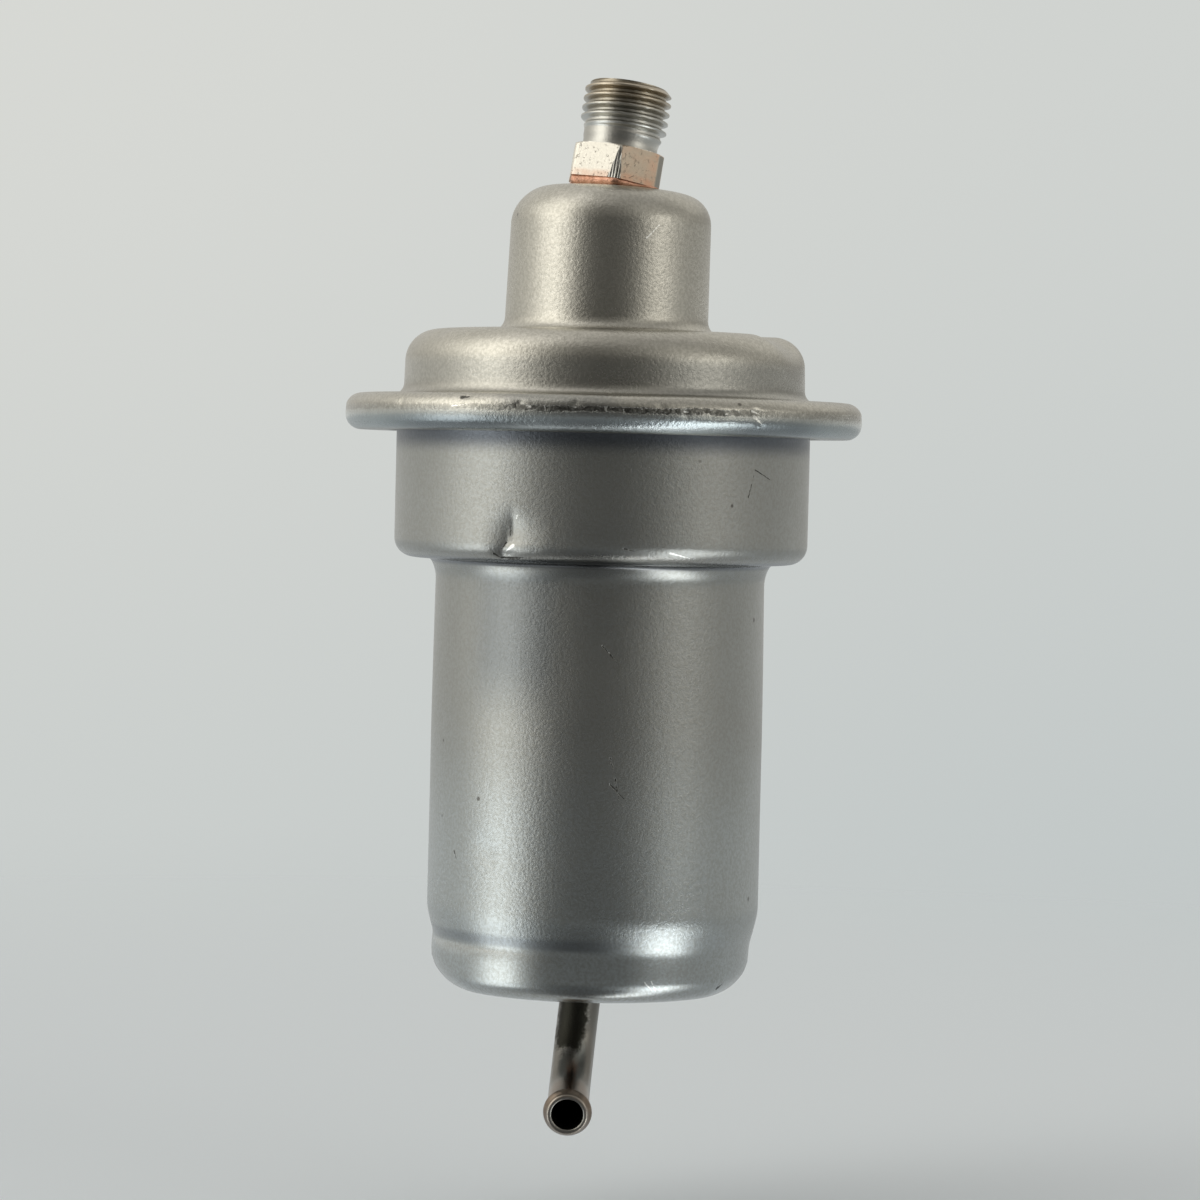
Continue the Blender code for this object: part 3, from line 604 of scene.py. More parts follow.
def pressed_steel():
    """Yellow-passivated pressings inside the can."""
    material, n, shader, place = metal("pressed_steel")
    grain = n.group(GRAIN, Position=place, Size=0.0004, Amount=0.2)
    lines = n.group(HAIRLINES, Position=place, Stretch=(1.0, 1.0, 0.3), Amount=0.4)
    clouds = n.ramp(grain["Clouds"], 0.3, 0.7)
    tone = n.mix(clouds, (0.5, 0.43, 0.24), (0.62, 0.58, 0.44))
    tone = n.lay(tone, lines["Scratches"], 0.5, (0.7, 0.68, 0.6))
    finish(n, shader, tone, 0.38, grain["Grain"], 0.00003)
    return material


def spring_steel():
    """Dark oil-tempered wire with drawing lines."""
    material, n, shader, place = metal("spring_steel")
    grain = n.group(GRAIN, Position=place, Size=0.0005, Amount=0.3)
    lines = n.group(HAIRLINES, Position=place, Stretch=(0.3, 0.3, 1.0), Amount=0.8)
    clouds = n.ramp(grain["Clouds"], 0.3, 0.7)
    tone = n.mix(clouds, (0.11, 0.11, 0.12), (0.2, 0.19, 0.18))
    tone = n.lay(tone, lines["Scratches"], 0.5, (0.4, 0.39, 0.37))
    finish(n, shader, tone, 0.4, grain["Grain"], 0.00003)
    return material


def diaphragm_rubber():
    """Black rubber over cloth, whose weave shows faintly."""
    material, n, shader, place = metal("diaphragm_rubber")
    shader.inputs["Metallic"].default_value = 0.0
    grain = n.group(GRAIN, Position=place, Size=0.0006, Amount=0.0)
    weave = n.add("ShaderNodeTexChecker")
    n.join(place, weave.inputs["Vector"])
    weave.inputs["Scale"].default_value = 1400.0
    dust = n.ramp(grain["Clouds"], 0.45, 0.75)
    tone = n.mix(dust, (0.018, 0.018, 0.019), (0.05, 0.048, 0.044))
    finish(n, shader, tone, 0.7, n.line(weave.outputs["Fac"], 0.4, grain["Grain"]), 0.00006)
    return material


MATERIALS = {
    "satin_steel": satin_steel(),
    "union_steel": union_steel(),
    "braze_copper": braze_copper(),
    "tube_steel": tube_steel(),
    "pressed_steel": pressed_steel(),
    "spring_steel": spring_steel(),
    "diaphragm_rubber": diaphragm_rubber(),
}


# Mesh helpers
def smooth_step(value):
    """Ease from 0 to 1."""
    value = np.clip(value, 0.0, 1.0)
    return value * value * (3 - 2 * value)


def bell(value):
    """A soft bump, 1 at 0 and about 0 beyond 2."""
    return np.exp(-(value**2))


def ripple(x, y, z, scale, seed=0.0):
    """Noise between -1 and 1 at each point of three arrays."""
    flat = zip(np.ravel(x) * scale, np.ravel(y) * scale, np.ravel(z) * scale + seed)
    values = [noise.noise(Vector(point)) for point in flat]
    return np.array(values).reshape(np.shape(x))


def flat_place(radius, azimuth):
    """X and Y of points round the axis."""
    return radius * np.sin(azimuth), -radius * np.cos(azimuth)


def turn_between(azimuth, degrees):
    """How far azimuths are past a place, between minus and plus half a turn."""
    return (azimuth - math.radians(degrees) + math.pi) % (2 * math.pi) - math.pi


def rounded(corners, chord=0.0005):
    """Outline through (radius, height, fillet) corners, each fillet drawn as an arc."""
    outline = []
    for index, (radius, height, fillet) in enumerate(corners):
        corner = Vector((radius, height))
        if not fillet:
            outline.append(corner)
            continue
        before = (Vector(corners[index - 1][:2]) - corner).normalized()
        after = (Vector(corners[index + 1][:2]) - corner).normalized()
        half = before.angle(after) / 2
        centre = corner + (before + after).normalized() * fillet / math.sin(half)
        start = corner + before * fillet / math.tan(half) - centre
        first = math.atan2(start.y, start.x)
        sweep = math.pi - 2 * half
        steps = max(math.ceil(fillet * sweep / chord), 3)
        if before.x * after.y - before.y * after.x > 0:
            sweep = -sweep
        for step in range(steps + 1):
            angle = first + sweep * step / steps
            outline.append(centre + fillet * Vector((math.cos(angle), math.sin(angle))))
    return outline


def fill_in(outline, spacing):
    """Add points along the straight lengths, spacing being a function of the height."""
    filled = [outline[0]]
    for point in outline[1:]:
        last = filled[-1]
        steps = max(math.ceil((point - last).length / spacing((point.y + last.y) / 2)), 1)
        for step in range(1, steps + 1):
            filled.append(last.lerp(point, step / steps))
    return np.array([(point.x, point.y) for point in filled])


def ring_angles(step, fine=(), fine_step=0.3):
    """Azimuths round a ring in radians, closer together between the given limits in degrees."""
    angles = []
    angle = -180.0
    while angle < 179.99:
        angles.append(angle)
        near = any(low <= angle < high for low, high in fine)
        angle += fine_step if near else step
    return np.radians(np.array(angles))


def spin(outline, angles):
    """Radius, height and azimuth arrays of an outline turned round Z."""
    radius = np.repeat(outline[:, :1], len(angles), axis=1)
    height = np.repeat(outline[:, 1:2], len(angles), axis=1)
    azimuth = np.repeat(angles[None, :], len(outline), axis=0)
    return radius, height, azimuth


def grid_mesh(name, x, y, z, wrap=False, closed=True):
    """Quad mesh with rows along the first axis and round the ring along the second."""
    rows, around = x.shape
    verts = np.stack([x, y, z], axis=-1).reshape(-1, 3)
    row_count = rows if wrap else rows - 1
    side_count = around if closed else around - 1
    i, j = np.meshgrid(np.arange(row_count), np.arange(side_count), indexing="ij")
    up = (i + 1) % rows
    side = (j + 1) % around
    corners = [i * around + j, i * around + side, up * around + side, up * around + j]
    faces = np.stack(corners, axis=-1).reshape(-1, 4)
    mesh = bpy.data.meshes.new(name)
    mesh.from_pydata(verts.tolist(), [], faces.tolist())
    return mesh


def dress(name, mesh, slot, node, matrix=None, sharp=32.0):
    """Make a smooth piece that stands for a CAD node, sharp at edges over some degrees."""
    shape = bmesh.new()
    shape.from_mesh(mesh)
    bmesh.ops.remove_doubles(shape, verts=shape.verts, dist=0.000002)
    bmesh.ops.recalc_face_normals(shape, faces=shape.faces)
    if matrix:
        shape.transform(matrix)
    shape.to_mesh(mesh)
    shape.free()
    mesh.materials.append(MATERIALS[slot])
    mesh.shade_smooth()
    mesh.set_sharp_from_angle(angle=math.radians(sharp))
    piece = bpy.data.objects.new(name, mesh)
    bpy.context.scene.collection.objects.link(piece)
    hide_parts(node)
    return piece


def paint(mesh, name, values):
    """Store one number a vertex for a material to read."""
    layer = mesh.attributes.new(name, "FLOAT", "POINT")
    layer.data.foreach_set("value", np.ravel(values).astype(np.float32))


def add_sheet(piece):
    """Give a skin the thickness of its sheet, inward."""
    solid = piece.modifiers.new("sheet", "SOLIDIFY")
    solid.thickness = SHEET
    solid.offset = -1.0
    solid.use_even_offset = True


# Shells
# Pits and nicks in the seam's face: azimuth, height, half-widths and depth, in degrees and mm
SEAM_NICKS = [
    (-31.0, 2.2, 1.0, 0.4, 0.4),
    (34.0, 0.9, 1.2, 0.6, 0.3),
    (35.0, -0.4, 1.0, 0.8, 0.2),
    (-18.0, 1.2, 0.8, 0.3, 0.25),
    (-6.0, 1.4, 0.7, 0.3, 0.25),
    (12.0, 1.3, 0.9, 0.3, 0.2),
    (17.5, 0.6, 0.8, 0.4, 0.2),
    (-49.0, 1.3, 0.8, 0.3, 0.2),
    (145.0, -1.2, 1.4, 0.8, 0.3),
    (-110.0, 1.0, 1.2, 0.6, 0.3),
]

# Knocks on the cover's shoulder: azimuth, radius, reach and depth, in degrees and mm
COVER_KNOCKS = [
    (72.0, 28.5, 8.2, 1.1),
    (78.0, 29.7, 3.5, 0.3),
    (64.0, 27.2, 4.0, 0.3),
    (-60.0, 29.2, 3.0, 0.15),
    (160.0, 28.0, 4.0, 0.3),
]

# Shallow dents in the can's wall: azimuth, height, half-widths and depth, in degrees and mm
CAN_DENTS = [
    (-27.0, -21.3, 2.2, 0.7, 0.3),
    (-60.0, -81.4, 22.0, 1.2, 0.24),
    (-39.8, -66.5, 2.4, 0.9, 0.22),
    (-37.0, -68.0, 1.0, 0.8, 0.12),
    (22.0, -20.8, 2.0, 0.6, 0.1),
    (4.0, -36.2, 1.2, 1.2, 0.08),
    (120.0, -40.0, 4.0, 3.0, 0.25),
    (-150.0, -62.0, 3.0, 2.0, 0.2),
    (165.0, -12.0, 2.5, 2.0, 0.2),
]


# Crease above the step, in degrees and metres
CREASE_AZIMUTH = -24.4
CREASE_HEIGHT = -0.0187
CREASE_HALF_WIDTH = 0.0062
CREASE_HALF_HEIGHT = 0.0041
CREASE_DEPTH = 0.0009


def roll_marks(radius, height, azimuth):
    """Waviness, ragged ridge and nicks of the rolled seam, as a change of radius."""
    edge = smooth_step((radius - 0.0375) / 0.002)
    x, y = flat_place(radius, azimuth)
    rag = ripple(x, y, height * 0.4, 900.0)
    line = 0.00125 + 0.00025 * ripple(x, y, height * 0, 140.0, 5.0)
    amount = 0.5 + 0.5 * ripple(x, y, height * 0, 90.0, 9.0)
    change = -0.00014 + 0.00004 * np.sin(azimuth * 7 + 0.6)
    change = change + bell((height - line) / 0.00032) * (0.00004 + 0.00006 * rag) * amount
    change = change - bell((height - line + 0.0006) / 0.0004) * 0.00006
    for place, level, wide, tall, depth in SEAM_NICKS:
        off = np.degrees(turn_between(azimuth, place)) / wide
        change = change - bell(off) * bell((height * 1000 - level) / tall) * depth / 1000
    return edge * change


def lean_dome(x, y, z):
    """Lean the dome and dish its top, the way the union was knocked."""
    reach = np.hypot(x, y)
    rise = z - COVER_TOP
    on_dome = (rise > 0) & (reach < DOME_RADIUS + 0.0026)
    share = 1 - smooth_step((reach - DISH_START) / (DOME_RADIUS - DISH_START))
    way = x * LEAN_WAY.x + y * LEAN_WAY.y
    dished = on_dome & (rise > DOME_TOP - COVER_TOP - DOME_CORNER)
    shift = np.where(on_dome, rise * math.tan(DOME_LEAN), 0.0)
    z = np.where(dished, z - way * math.tan(DOME_DISH) * share, z)
    return x + LEAN_WAY.x * shift, y + LEAN_WAY.y * shift, z


def cover_skin():
    """Cover with its leaning dome, knocked shoulder and the nicked ridge round the seam."""
    corners = [
        (UNION_HOLE, DOME_TOP, 0),
        (DOME_RADIUS, DOME_TOP, DOME_CORNER),
        (DOME_RADIUS + DOME_DRAFT, COVER_TOP, DOME_FOOT),
        (COVER_RADIUS, COVER_TOP, COVER_CORNER),
        (COVER_RADIUS + COVER_DRAFT, SEAM_HALF, COVER_FOOT),
        (SEAM_RADIUS, SEAM_HALF, SEAM_CORNER),
        (SEAM_RADIUS, -SEAM_HALF, SEAM_CORNER),
        (LIP_EDGE, -SEAM_HALF, 0),
    ]
    outline = fill_in(rounded(corners, 0.0004), lambda height: 0.0012)
    radius, height, azimuth = spin(outline, ring_angles(1.8, [(-66.0, 66.0)], 0.5))
    radius = radius + roll_marks(radius, height, azimuth)
    x, y = flat_place(radius, azimuth)
    x, y, z = lean_dome(x, y, height)
    for place, out, reach, depth in COVER_KNOCKS:
        at_x, at_y = flat_place(out / 1000, math.radians(place))
        off = np.sqrt((x - at_x) ** 2 + (y - at_y) ** 2 + (z - COVER_TOP + 0.0006) ** 2)
        push = depth / 1000 * np.clip(1 - (off * 1000 / reach) ** 2, 0, 1) ** 2
        x = x - push * 0.35 * at_x * 1000 / out
        y = y - push * 0.35 * at_y * 1000 / out
        z = z - push * 0.9
    mesh = grid_mesh("cover_skin", x, y, z)
    front = smooth_step(1.6 - np.abs(turn_between(azimuth, 5.0)) / math.radians(26.0))
    paint(mesh, "scuffed", smooth_step((radius - 0.0385) / 0.001) * (0.3 + 0.7 * front))
    piece = dress("cover_skin", mesh, "satin_steel", "cover_shell")
    add_sheet(piece)
    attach(piece, "housing")


def crease(height, azimuth):
    """Depth of the knock above the step, whose floor is a bent fold."""
    across = turn_between(azimuth, CREASE_AZIMUTH) * BODY_RADIUS
    down = height - CREASE_HEIGHT
    foot = np.clip((-0.0176 - height) / 0.0032, 0, 1)
    bend = across + 0.0022 * foot**1.6
    spread = (across / CREASE_HALF_WIDTH) ** 2 + (down / CREASE_HALF_HEIGHT) ** 2
    bowl = np.clip(1 - spread, 0, 1) ** 1.5
    off = np.sqrt(bend**2 + 0.00012**2)
    fold = np.exp(-off / np.where(bend < 0, 0.0022, 0.0019))
    return CREASE_DEPTH * bowl * (0.2 + 0.8 * fold)


def can_spacing(height):
    """Distance between the can's rings, closer together at the crease."""
    return 0.00024 if -0.0225 < height < -0.0135 else 0.0016


def vent_hole(piece):
    """Cut the vent tube's hole through the can's end."""
    bpy.ops.mesh.primitive_cylinder_add(
        vertices=48, radius=TUBE_RADIUS + 0.0003, depth=0.01, location=(TUBE_SIDE, 0.0, -CAN_LENGTH)
    )
    cutter = bpy.context.object
    cut = piece.modifiers.new("vent_hole", "BOOLEAN")
    cut.operation = "DIFFERENCE"
    cut.object = cutter
    graph = bpy.context.evaluated_depsgraph_get()
    mesh = bpy.data.meshes.new_from_object(piece.evaluated_get(graph))
    piece.modifiers.clear()
    piece.data = mesh
    bpy.data.objects.remove(cutter, do_unlink=True)


def can_skin():
    """Can with its sharp crease above the step, small dents and softly uneven walls."""
    corners = [
        (FLANGE_EDGE, FLANGE_UNDERSIDE, 0),
        (BODY_RADIUS, FLANGE_UNDERSIDE, BODY_BEND),
        (BODY_RADIUS, -BODY_DEPTH, STEP_CORNER),
        (STEP_RADIUS, -BODY_DEPTH - STEP_FALL, STEP_FILLET),
        (WAIST_RADIUS, WAIST_HEIGHT, WAIST_BEND),
        (BARREL_RADIUS, BARREL_START, 0),
        (BARREL_RADIUS, NECK_START, NECK_BEND),
        (NECK_RADIUS, NECK_HEIGHT, NECK_BEND),
        (END_RADIUS, -CAN_LENGTH, END_CORNER),
        (0, -CAN_LENGTH, 0),
    ]
    outline = fill_in(rounded(corners), can_spacing)
    radius, height, azimuth = spin(outline, ring_angles(2.0, [(-36.0, -13.0)], 0.35))
    x, y = flat_place(radius, azimuth)
    side = smooth_step((radius - 0.021) / 0.003)
    radius = radius + side * 0.00006 * ripple(x, y, height, 45.0)
    radius = radius - crease(height, azimuth) * (radius > 0.029)
    for place, level, wide, tall, depth in CAN_DENTS:
        off = turn_between(azimuth, place) * radius * 1000 / wide
        radius = radius - depth / 1000 * bell(off) * bell((height * 1000 - level) / tall)
    beside = smooth_step((np.abs(np.sin(azimuth)) - 0.75) / 0.25)
    radius = radius * (1 - 0.05 * beside * smooth_step((-0.0848 - height) / 0.0045))
    x, y = flat_place(radius, azimuth)
    x = x - END_SHIFT * smooth_step((-0.08 - height) / 0.004)
    piece = dress("can_skin", grid_mesh("can_skin", x, y, height), "satin_steel", "spring_can")
    add_sheet(piece)
    vent_hole(piece)
    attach(piece, "housing")


# Union
# Damage on the hexagon by azimuth in degrees: the gouged edge, the crushed corner and the groove
GOUGE_AZIMUTH = -10.5
CRUSH_AZIMUTH = 55.0
GROOVE_AZIMUTH = 4.0


def union_profile():
    """Outline of the union from the shank's bore up the outside and down its bore."""
    profile = [(UNION_BORE, -SHANK_BELOW), (SHANK_RADIUS - 0.0002, -SHANK_BELOW)]
    profile += [(SHANK_RADIUS, -SHANK_BELOW + 0.0002), (SHANK_RADIUS, HEX_SEAT)]
    hexagon = [len(profile)]
    profile += [(1.0, height) for height in np.linspace(HEX_SEAT, HEX_TOP, 32)]
    hexagon.append(len(profile))
    profile += [(0.0066, HEX_TOP), (0.0062, HEX_TOP + 0.00002), (0.00595, HEX_TOP + 0.0002)]
    neck = np.arange(HEX_TOP + 0.0005, RELIEF_TOP - 0.0012, 0.0004)
    profile += [(RELIEF_RADIUS, height) for height in neck]
    thread = [len(profile)]
    turns = np.arange(RELIEF_TOP - 0.0011, UNION_TOP - 0.0001, 0.00007)
    profile += [(THREAD_RADIUS, height) for height in turns]
    thread.append(len(profile))
    top = UNION_TOP - 0.00002
    profile += [(THREAD_RADIUS - THREAD_LEAD, top), (SEAT_CONE_RADIUS + 0.0005, top)]
    profile += [(SEAT_CONE_RADIUS, top - 0.0002), (UNION_BORE, top - 0.0013)]
    profile += [(UNION_BORE - 0.00005, top - 0.003), (UNION_BORE, 0.008)]
    return np.array(profile), hexagon, thread


def hexagon_form(height, azimuth):
    """Radius of the knocked hexagon, and masks of its gouge, crushed corner and groove."""
    corner = HEX_FLATS / 2 / math.cos(math.pi / 6)
    side = (azimuth - HEX_TURN) % (math.pi / 3) - math.pi / 6
    form = np.minimum(HEX_FLATS / 2 / np.cos(side), corner - 0.00012)
    form = np.minimum(form, corner - 0.0009 + (HEX_TOP - height) * math.tan(math.radians(60)))
    share = np.clip((HEX_TOP - height) / (HEX_TOP - HEX_SEAT), 0, 1)
    from_gouge = turn_between(azimuth, GOUGE_AZIMUTH)
    streaks = 0.00004 * np.sin(np.degrees(azimuth) * 1.9) * share
    gouge = (0.00783 - 0.00042 * share + streaks) / np.cos(np.clip(from_gouge, -1, 1))
    gouge = np.where(np.abs(from_gouge) < 0.6, gouge, 1.0)
    from_crush = turn_between(azimuth, CRUSH_AZIMUTH)
    crush = (0.00772 - 0.00006 * share) / np.cos(np.clip(from_crush, -1, 1))
    crush = np.where(np.abs(from_crush) < 0.4, crush, 1.0)
    groove = bell((np.degrees(azimuth) - GROOVE_AZIMUTH + 2.0 * share) / 0.65) * share
    in_gouge = gouge < form
    in_crush = crush < form
    form = np.minimum(np.minimum(form, gouge), crush) - groove * 0.0002
    return form, in_gouge, in_crush, groove


def thread_form(height, azimuth):
    """Radius of the right-hand thread that fades into the neck, and 0 to 1 from root to crest."""
    turns = height / THREAD_PITCH - azimuth / (2 * math.pi)
    place = np.abs((turns % 1.0) - 0.5) * 2
    form = 1 - smooth_step((place - 0.12) / 0.7)
    start = RELIEF_TOP - 0.0009 - 0.0005 * np.sin(azimuth)
    fade = smooth_step((height - start) / 0.0024)
    root = RELIEF_RADIUS + 0.0001
    radius = root + (THREAD_RADIUS - root) * fade * form
    return np.minimum(radius, THREAD_RADIUS - THREAD_LEAD + UNION_TOP - height), form


def union_skin():
    """Union with its helical thread, relief neck, knocked hexagon, seat cone and bore."""
    profile, hexagon, thread = union_profile()
    angles = set(np.round(np.arange(-180.0, 180.0, 2.5), 3))
    angles |= set(np.round(np.arange(-24.0, 10.0, 0.5), 3))
    for index in range(6):
        corner = math.degrees(HEX_TURN) - 180 + 60 * index
        angles |= {round(corner + off, 3) for off in (-1.2, -0.5, 0.0, 0.5, 1.2)}
    radius, height, azimuth = spin(profile, np.radians(np.array(sorted(angles))))
    rows = np.arange(len(profile))[:, None]
    on_hexagon = (rows >= hexagon[0]) & (rows < hexagon[1])
    on_thread = (rows >= thread[0]) & (rows < thread[1])
    side, in_gouge, in_crush, groove = hexagon_form(height, azimuth)
    threaded, crest = thread_form(height, azimuth)
    radius = np.where(on_hexagon, side, radius)
    radius = np.where(on_thread, threaded, radius)
    mesh = grid_mesh("union_skin", *flat_place(radius, azimuth), height, wrap=True)

    whole = on_hexagon & (height < HEX_TOP - 0.0001) & ~in_gouge & ~in_crush
    right = smooth_step((azimuth - math.radians(3.0)) / 0.02) * (azimuth < math.radians(190))
    far_right = smooth_step((azimuth - math.radians(40.0)) / 0.3)
    low = smooth_step((HEX_SEAT + 0.0013 - height) / 0.0007)
    used = smooth_step((height - RELIEF_TOP - 0.001) / 0.002)
    # Soot with painted shade: darker in the thread's roots, the groove and the crushed corner, and a
    # little on the gouge
    soot_and_shade = on_thread * (0.06 + 0.4 * (1 - crest)) * used
    soot_and_shade = soot_and_shade + on_hexagon * (in_gouge * 0.12 + in_crush * 0.5 + groove * 0.35)
    paint(mesh, "flats", whole * 1.0)
    bronze = on_thread * smooth_step((height - 0.0118) / 0.003) * 0.75
    paint(mesh, "worn", whole * right * 0.8 + bronze)
    paint(mesh, "copper", whole * np.clip((0.3 + 0.5 * far_right) * right + 0.5 * low, 0, 1))
    paint(mesh, "soot_and_shade", np.clip(soot_and_shade, 0, 1))
    piece = dress("union_skin", mesh, "union_steel", "inlet_union", matrix=UNION_FRAME, sharp=24.0)
    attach(piece, "housing")


def braze_fillet():
    """Copper wedge under the leaning hexagon, thick on its left and feathered on its right."""
    angles = ring_angles(2.0)
    around = np.linspace(0, 2 * math.pi, 22, endpoint=False)
    azimuth = np.repeat(angles[None, :], len(around), axis=0)
    turn = np.repeat(around[:, None], len(angles), axis=1)
    way_x, way_y = flat_place(1.0, azimuth)
    lean = way_x * LEAN_WAY.x + way_y * LEAN_WAY.y
    flat = HEX_FLATS / 2 / np.cos((azimuth - HEX_TURN) % (math.pi / 3) - math.pi / 6)
    lump = ripple(way_x, way_y, way_x * 0, 3.1, 1.7)
    thick = 0.00095 - 0.0008 * lean + 0.00014 * lump
    inner = 0.0055
    out = np.minimum(flat, 0.0078) - 0.0001 + 0.00025 * lean + 0.0002 * lump
    reach = inner + (out - inner) * (1 + np.cos(turn)) / 2
    bulge = np.sin(turn)
    level = 0.0002 + thick / 2 + thick / 2 * bulge * np.where(bulge > 0, 1.0, 1.15)
    x = DOME_SHIFT.x + way_x * reach
    y = DOME_SHIFT.y + way_y * reach
    z = DOME_TOP - reach * lean * math.tan(DOME_DISH) + level
    mesh = grid_mesh("braze_fillet", x, y, z, wrap=True)
    piece = dress("braze_fillet", mesh, "braze_copper", "union_braze", sharp=60.0)
    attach(piece, "housing")


# Vent tube
def tube_line():
    """Centre line and directions of the vent tube, the end of its bend and its way out."""
    down = Vector((-math.sin(TUBE_LEAN), 0.0, -math.cos(TUBE_LEAN)))
    across = Vector((0.0, -1.0, 0.0))
    leave = Vector((TUBE_SIDE, 0.0, -CAN_LENGTH))
    centre = leave + down * TUBE_DROP + across * TUBE_BEND_RADIUS
    points = [(leave - down * 0.0032, down), (leave, down), (leave + down * 0.0025, down)]
    for index in range(31):
        angle = TUBE_BEND_ANGLE * index / 30
        arm = down * math.sin(angle) - across * math.cos(angle)
        way = down * math.cos(angle) + across * math.sin(angle)
        points.append((centre + arm * TUBE_BEND_RADIUS, way))
    bend_end, out = points[-1]
    for step in range(1, 61):
        points.append((bend_end + out * TUBE_REACH * step / 60, out))
    return points, bend_end, out


def tube_rings():
    """Rings of the tube: point, way and radius, up the outside and back down the bore."""
    points, bend_end, out = tube_line()
    mouth = bend_end + out * TUBE_REACH
    rings = []
    for point, way in points:
        past = (point - bend_end).dot(out) - TUBE_REACH + BEAD_SETBACK
        share = min(abs(past) / BEAD_HALF_WIDTH, 1.0)
        radius = TUBE_RADIUS + BEAD_RISE * math.cos(share * math.pi / 2) ** 1.5
        from_end = (mouth - point).dot(out)
        if 0 <= from_end < RIM_ROUND:
            radius -= RIM_ROUND - math.sqrt(max(RIM_ROUND**2 - (RIM_ROUND - from_end) ** 2, 0.0))
        rings.append((point, way, radius))
    outside = len(rings)
    for back, radius in ((0.0, 0.00262), (0.00015, 0.00245), (0.0006, TUBE_BORE)):
        rings.append((mouth - out * back, out, radius))
    rings += [(point, way, TUBE_BORE) for point, way in reversed(points[:-6])]
    return rings, outside, mouth, bend_end, out


def tube_skin():
    """Tube with a rolled hose bead, a rounded rim and an open bore."""
    rings, outside, mouth, bend_end, out = tube_rings()
    angles = np.radians(np.arange(0.0, 360.0, 5.0))
    place = np.zeros((len(rings), len(angles), 3))
    stain = np.zeros((len(rings), len(angles)))
    brown = stain.copy()
    bright = stain.copy()
    side = Vector((1.0, 0.0, 0.0))
    for row, (point, way, radius) in enumerate(rings):
        right = (side - way * side.dot(way)).normalized()
        front = way.cross(right)
        from_can = -CAN_LENGTH - point.z
        near_can = 1.2 * math.exp(-(((from_can - 0.005) / 0.0066) ** 4)) * (row < outside)
        past_bend = (point - bend_end).dot(out)
        for column, angle in enumerate(angles):
            arm = right * math.cos(angle) + front * math.sin(angle)
            lump = 0.991 + 0.006 * noise.noise((point + arm * radius) * 220)
            spot = point + arm * radius * lump
            place[row, column] = spot
            facing = 0.5 + 0.5 * math.sin(angle)
            left = math.exp(-(((arm.x + 0.26) / 0.68) ** 4))
            stain[row, column] = near_can * left * min(facing * 1.6, 1.0)
            if row < outside:
                brown[row, column] = min(max((past_bend + 0.001) / 0.003, 0.0), 1.0)
            if abs((mouth - spot).dot(out)) < 0.00025:
                bright[row, column] = 0.3
    mesh = grid_mesh("tube_skin", place[..., 0], place[..., 1], place[..., 2], wrap=True)
    paint(mesh, "stain", stain)
    paint(mesh, "brown", brown)
    paint(mesh, "bright", bright)
    piece = dress("tube_skin", mesh, "tube_steel", "vent_tube", sharp=50.0)
    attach(piece, "housing")


def tube_fillet():
    """Low uneven braze fillet where the tube leaves the can's end."""
    angles = ring_angles(5.0)
    turn = np.append(np.linspace(0, math.pi / 2, 9), math.pi / 2)
    azimuth = np.repeat(angles[None, :], len(turn), axis=0)
    turn = np.repeat(turn[:, None], len(angles), axis=1)
    way_x, way_y = flat_place(1.0, azimuth)
    lump = 1 + 0.25 * ripple(way_x, way_y, way_x * 0, 2.0, 4.0)
    reach = 0.00365 + 0.0014 * lump * (1 - np.sin(turn))
    z = -CAN_LENGTH - 0.00028 - 0.0012 * lump * (1 - np.cos(turn))
    z[-1] = -CAN_LENGTH - 0.00028
    mesh = grid_mesh("tube_fillet", TUBE_SIDE + reach * way_x, reach * way_y, z, wrap=True)
    piece = dress("tube_fillet", mesh, "braze_copper", "vent_braze", sharp=60.0)
    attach(piece, "housing")


# Inner pieces, which on the real part change shape as the diaphragm travels
def spring_coil():
    """Compression spring with one closed turn and a ground face at each end."""
    steps = 40
    count = round(SPRING_TURNS * steps)
    turns = (np.arange(count) + 0.5) / steps
    openness = smooth_step((np.minimum(turns, SPRING_TURNS - turns) - 1) * 2 + 0.5)
    closed = WIRE + 0.0003
    spare = (SPRING_TOP - SPRING_BOTTOM - closed * SPRING_TURNS) / openness.sum()
    level = SPRING_BOTTOM + np.append(0.0, np.cumsum(closed / steps + spare * openness))
    azimuth = math.pi / 2 + 2 * math.pi * np.arange(count + 1) / steps
    around = np.linspace(0, 2 * math.pi, 14, endpoint=False)
    reach = SPRING_RADIUS + WIRE / 2 * np.cos(around)[None, :]
    rise = WIRE / 2 * np.sin(around)[None, :]
    x, y = flat_place(reach, azimuth[:, None])
    z = np.clip(level[:, None] + rise, SPRING_BOTTOM, SPRING_TOP)
    mesh = grid_mesh("spring_coil", x, y, z)
    shape = bmesh.new()
    shape.from_mesh(mesh)
    bmesh.ops.holes_fill(shape, edges=shape.edges, sides=20)
    shape.to_mesh(mesh)
    shape.free()
    piece = dress("spring_coil", mesh, "spring_steel", "main_spring", sharp=50.0)
    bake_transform(piece)


def sheet_loop(outline, wall):
    """Both faces of a bent sheet as one closed outline."""
    ahead = np.gradient(outline, axis=0)
    ahead = ahead / np.linalg.norm(ahead, axis=1)[:, None]
    inward = np.stack([ahead[:, 1], -ahead[:, 0]], axis=1)
    return np.concatenate([outline, (outline + inward * wall)[::-1]])


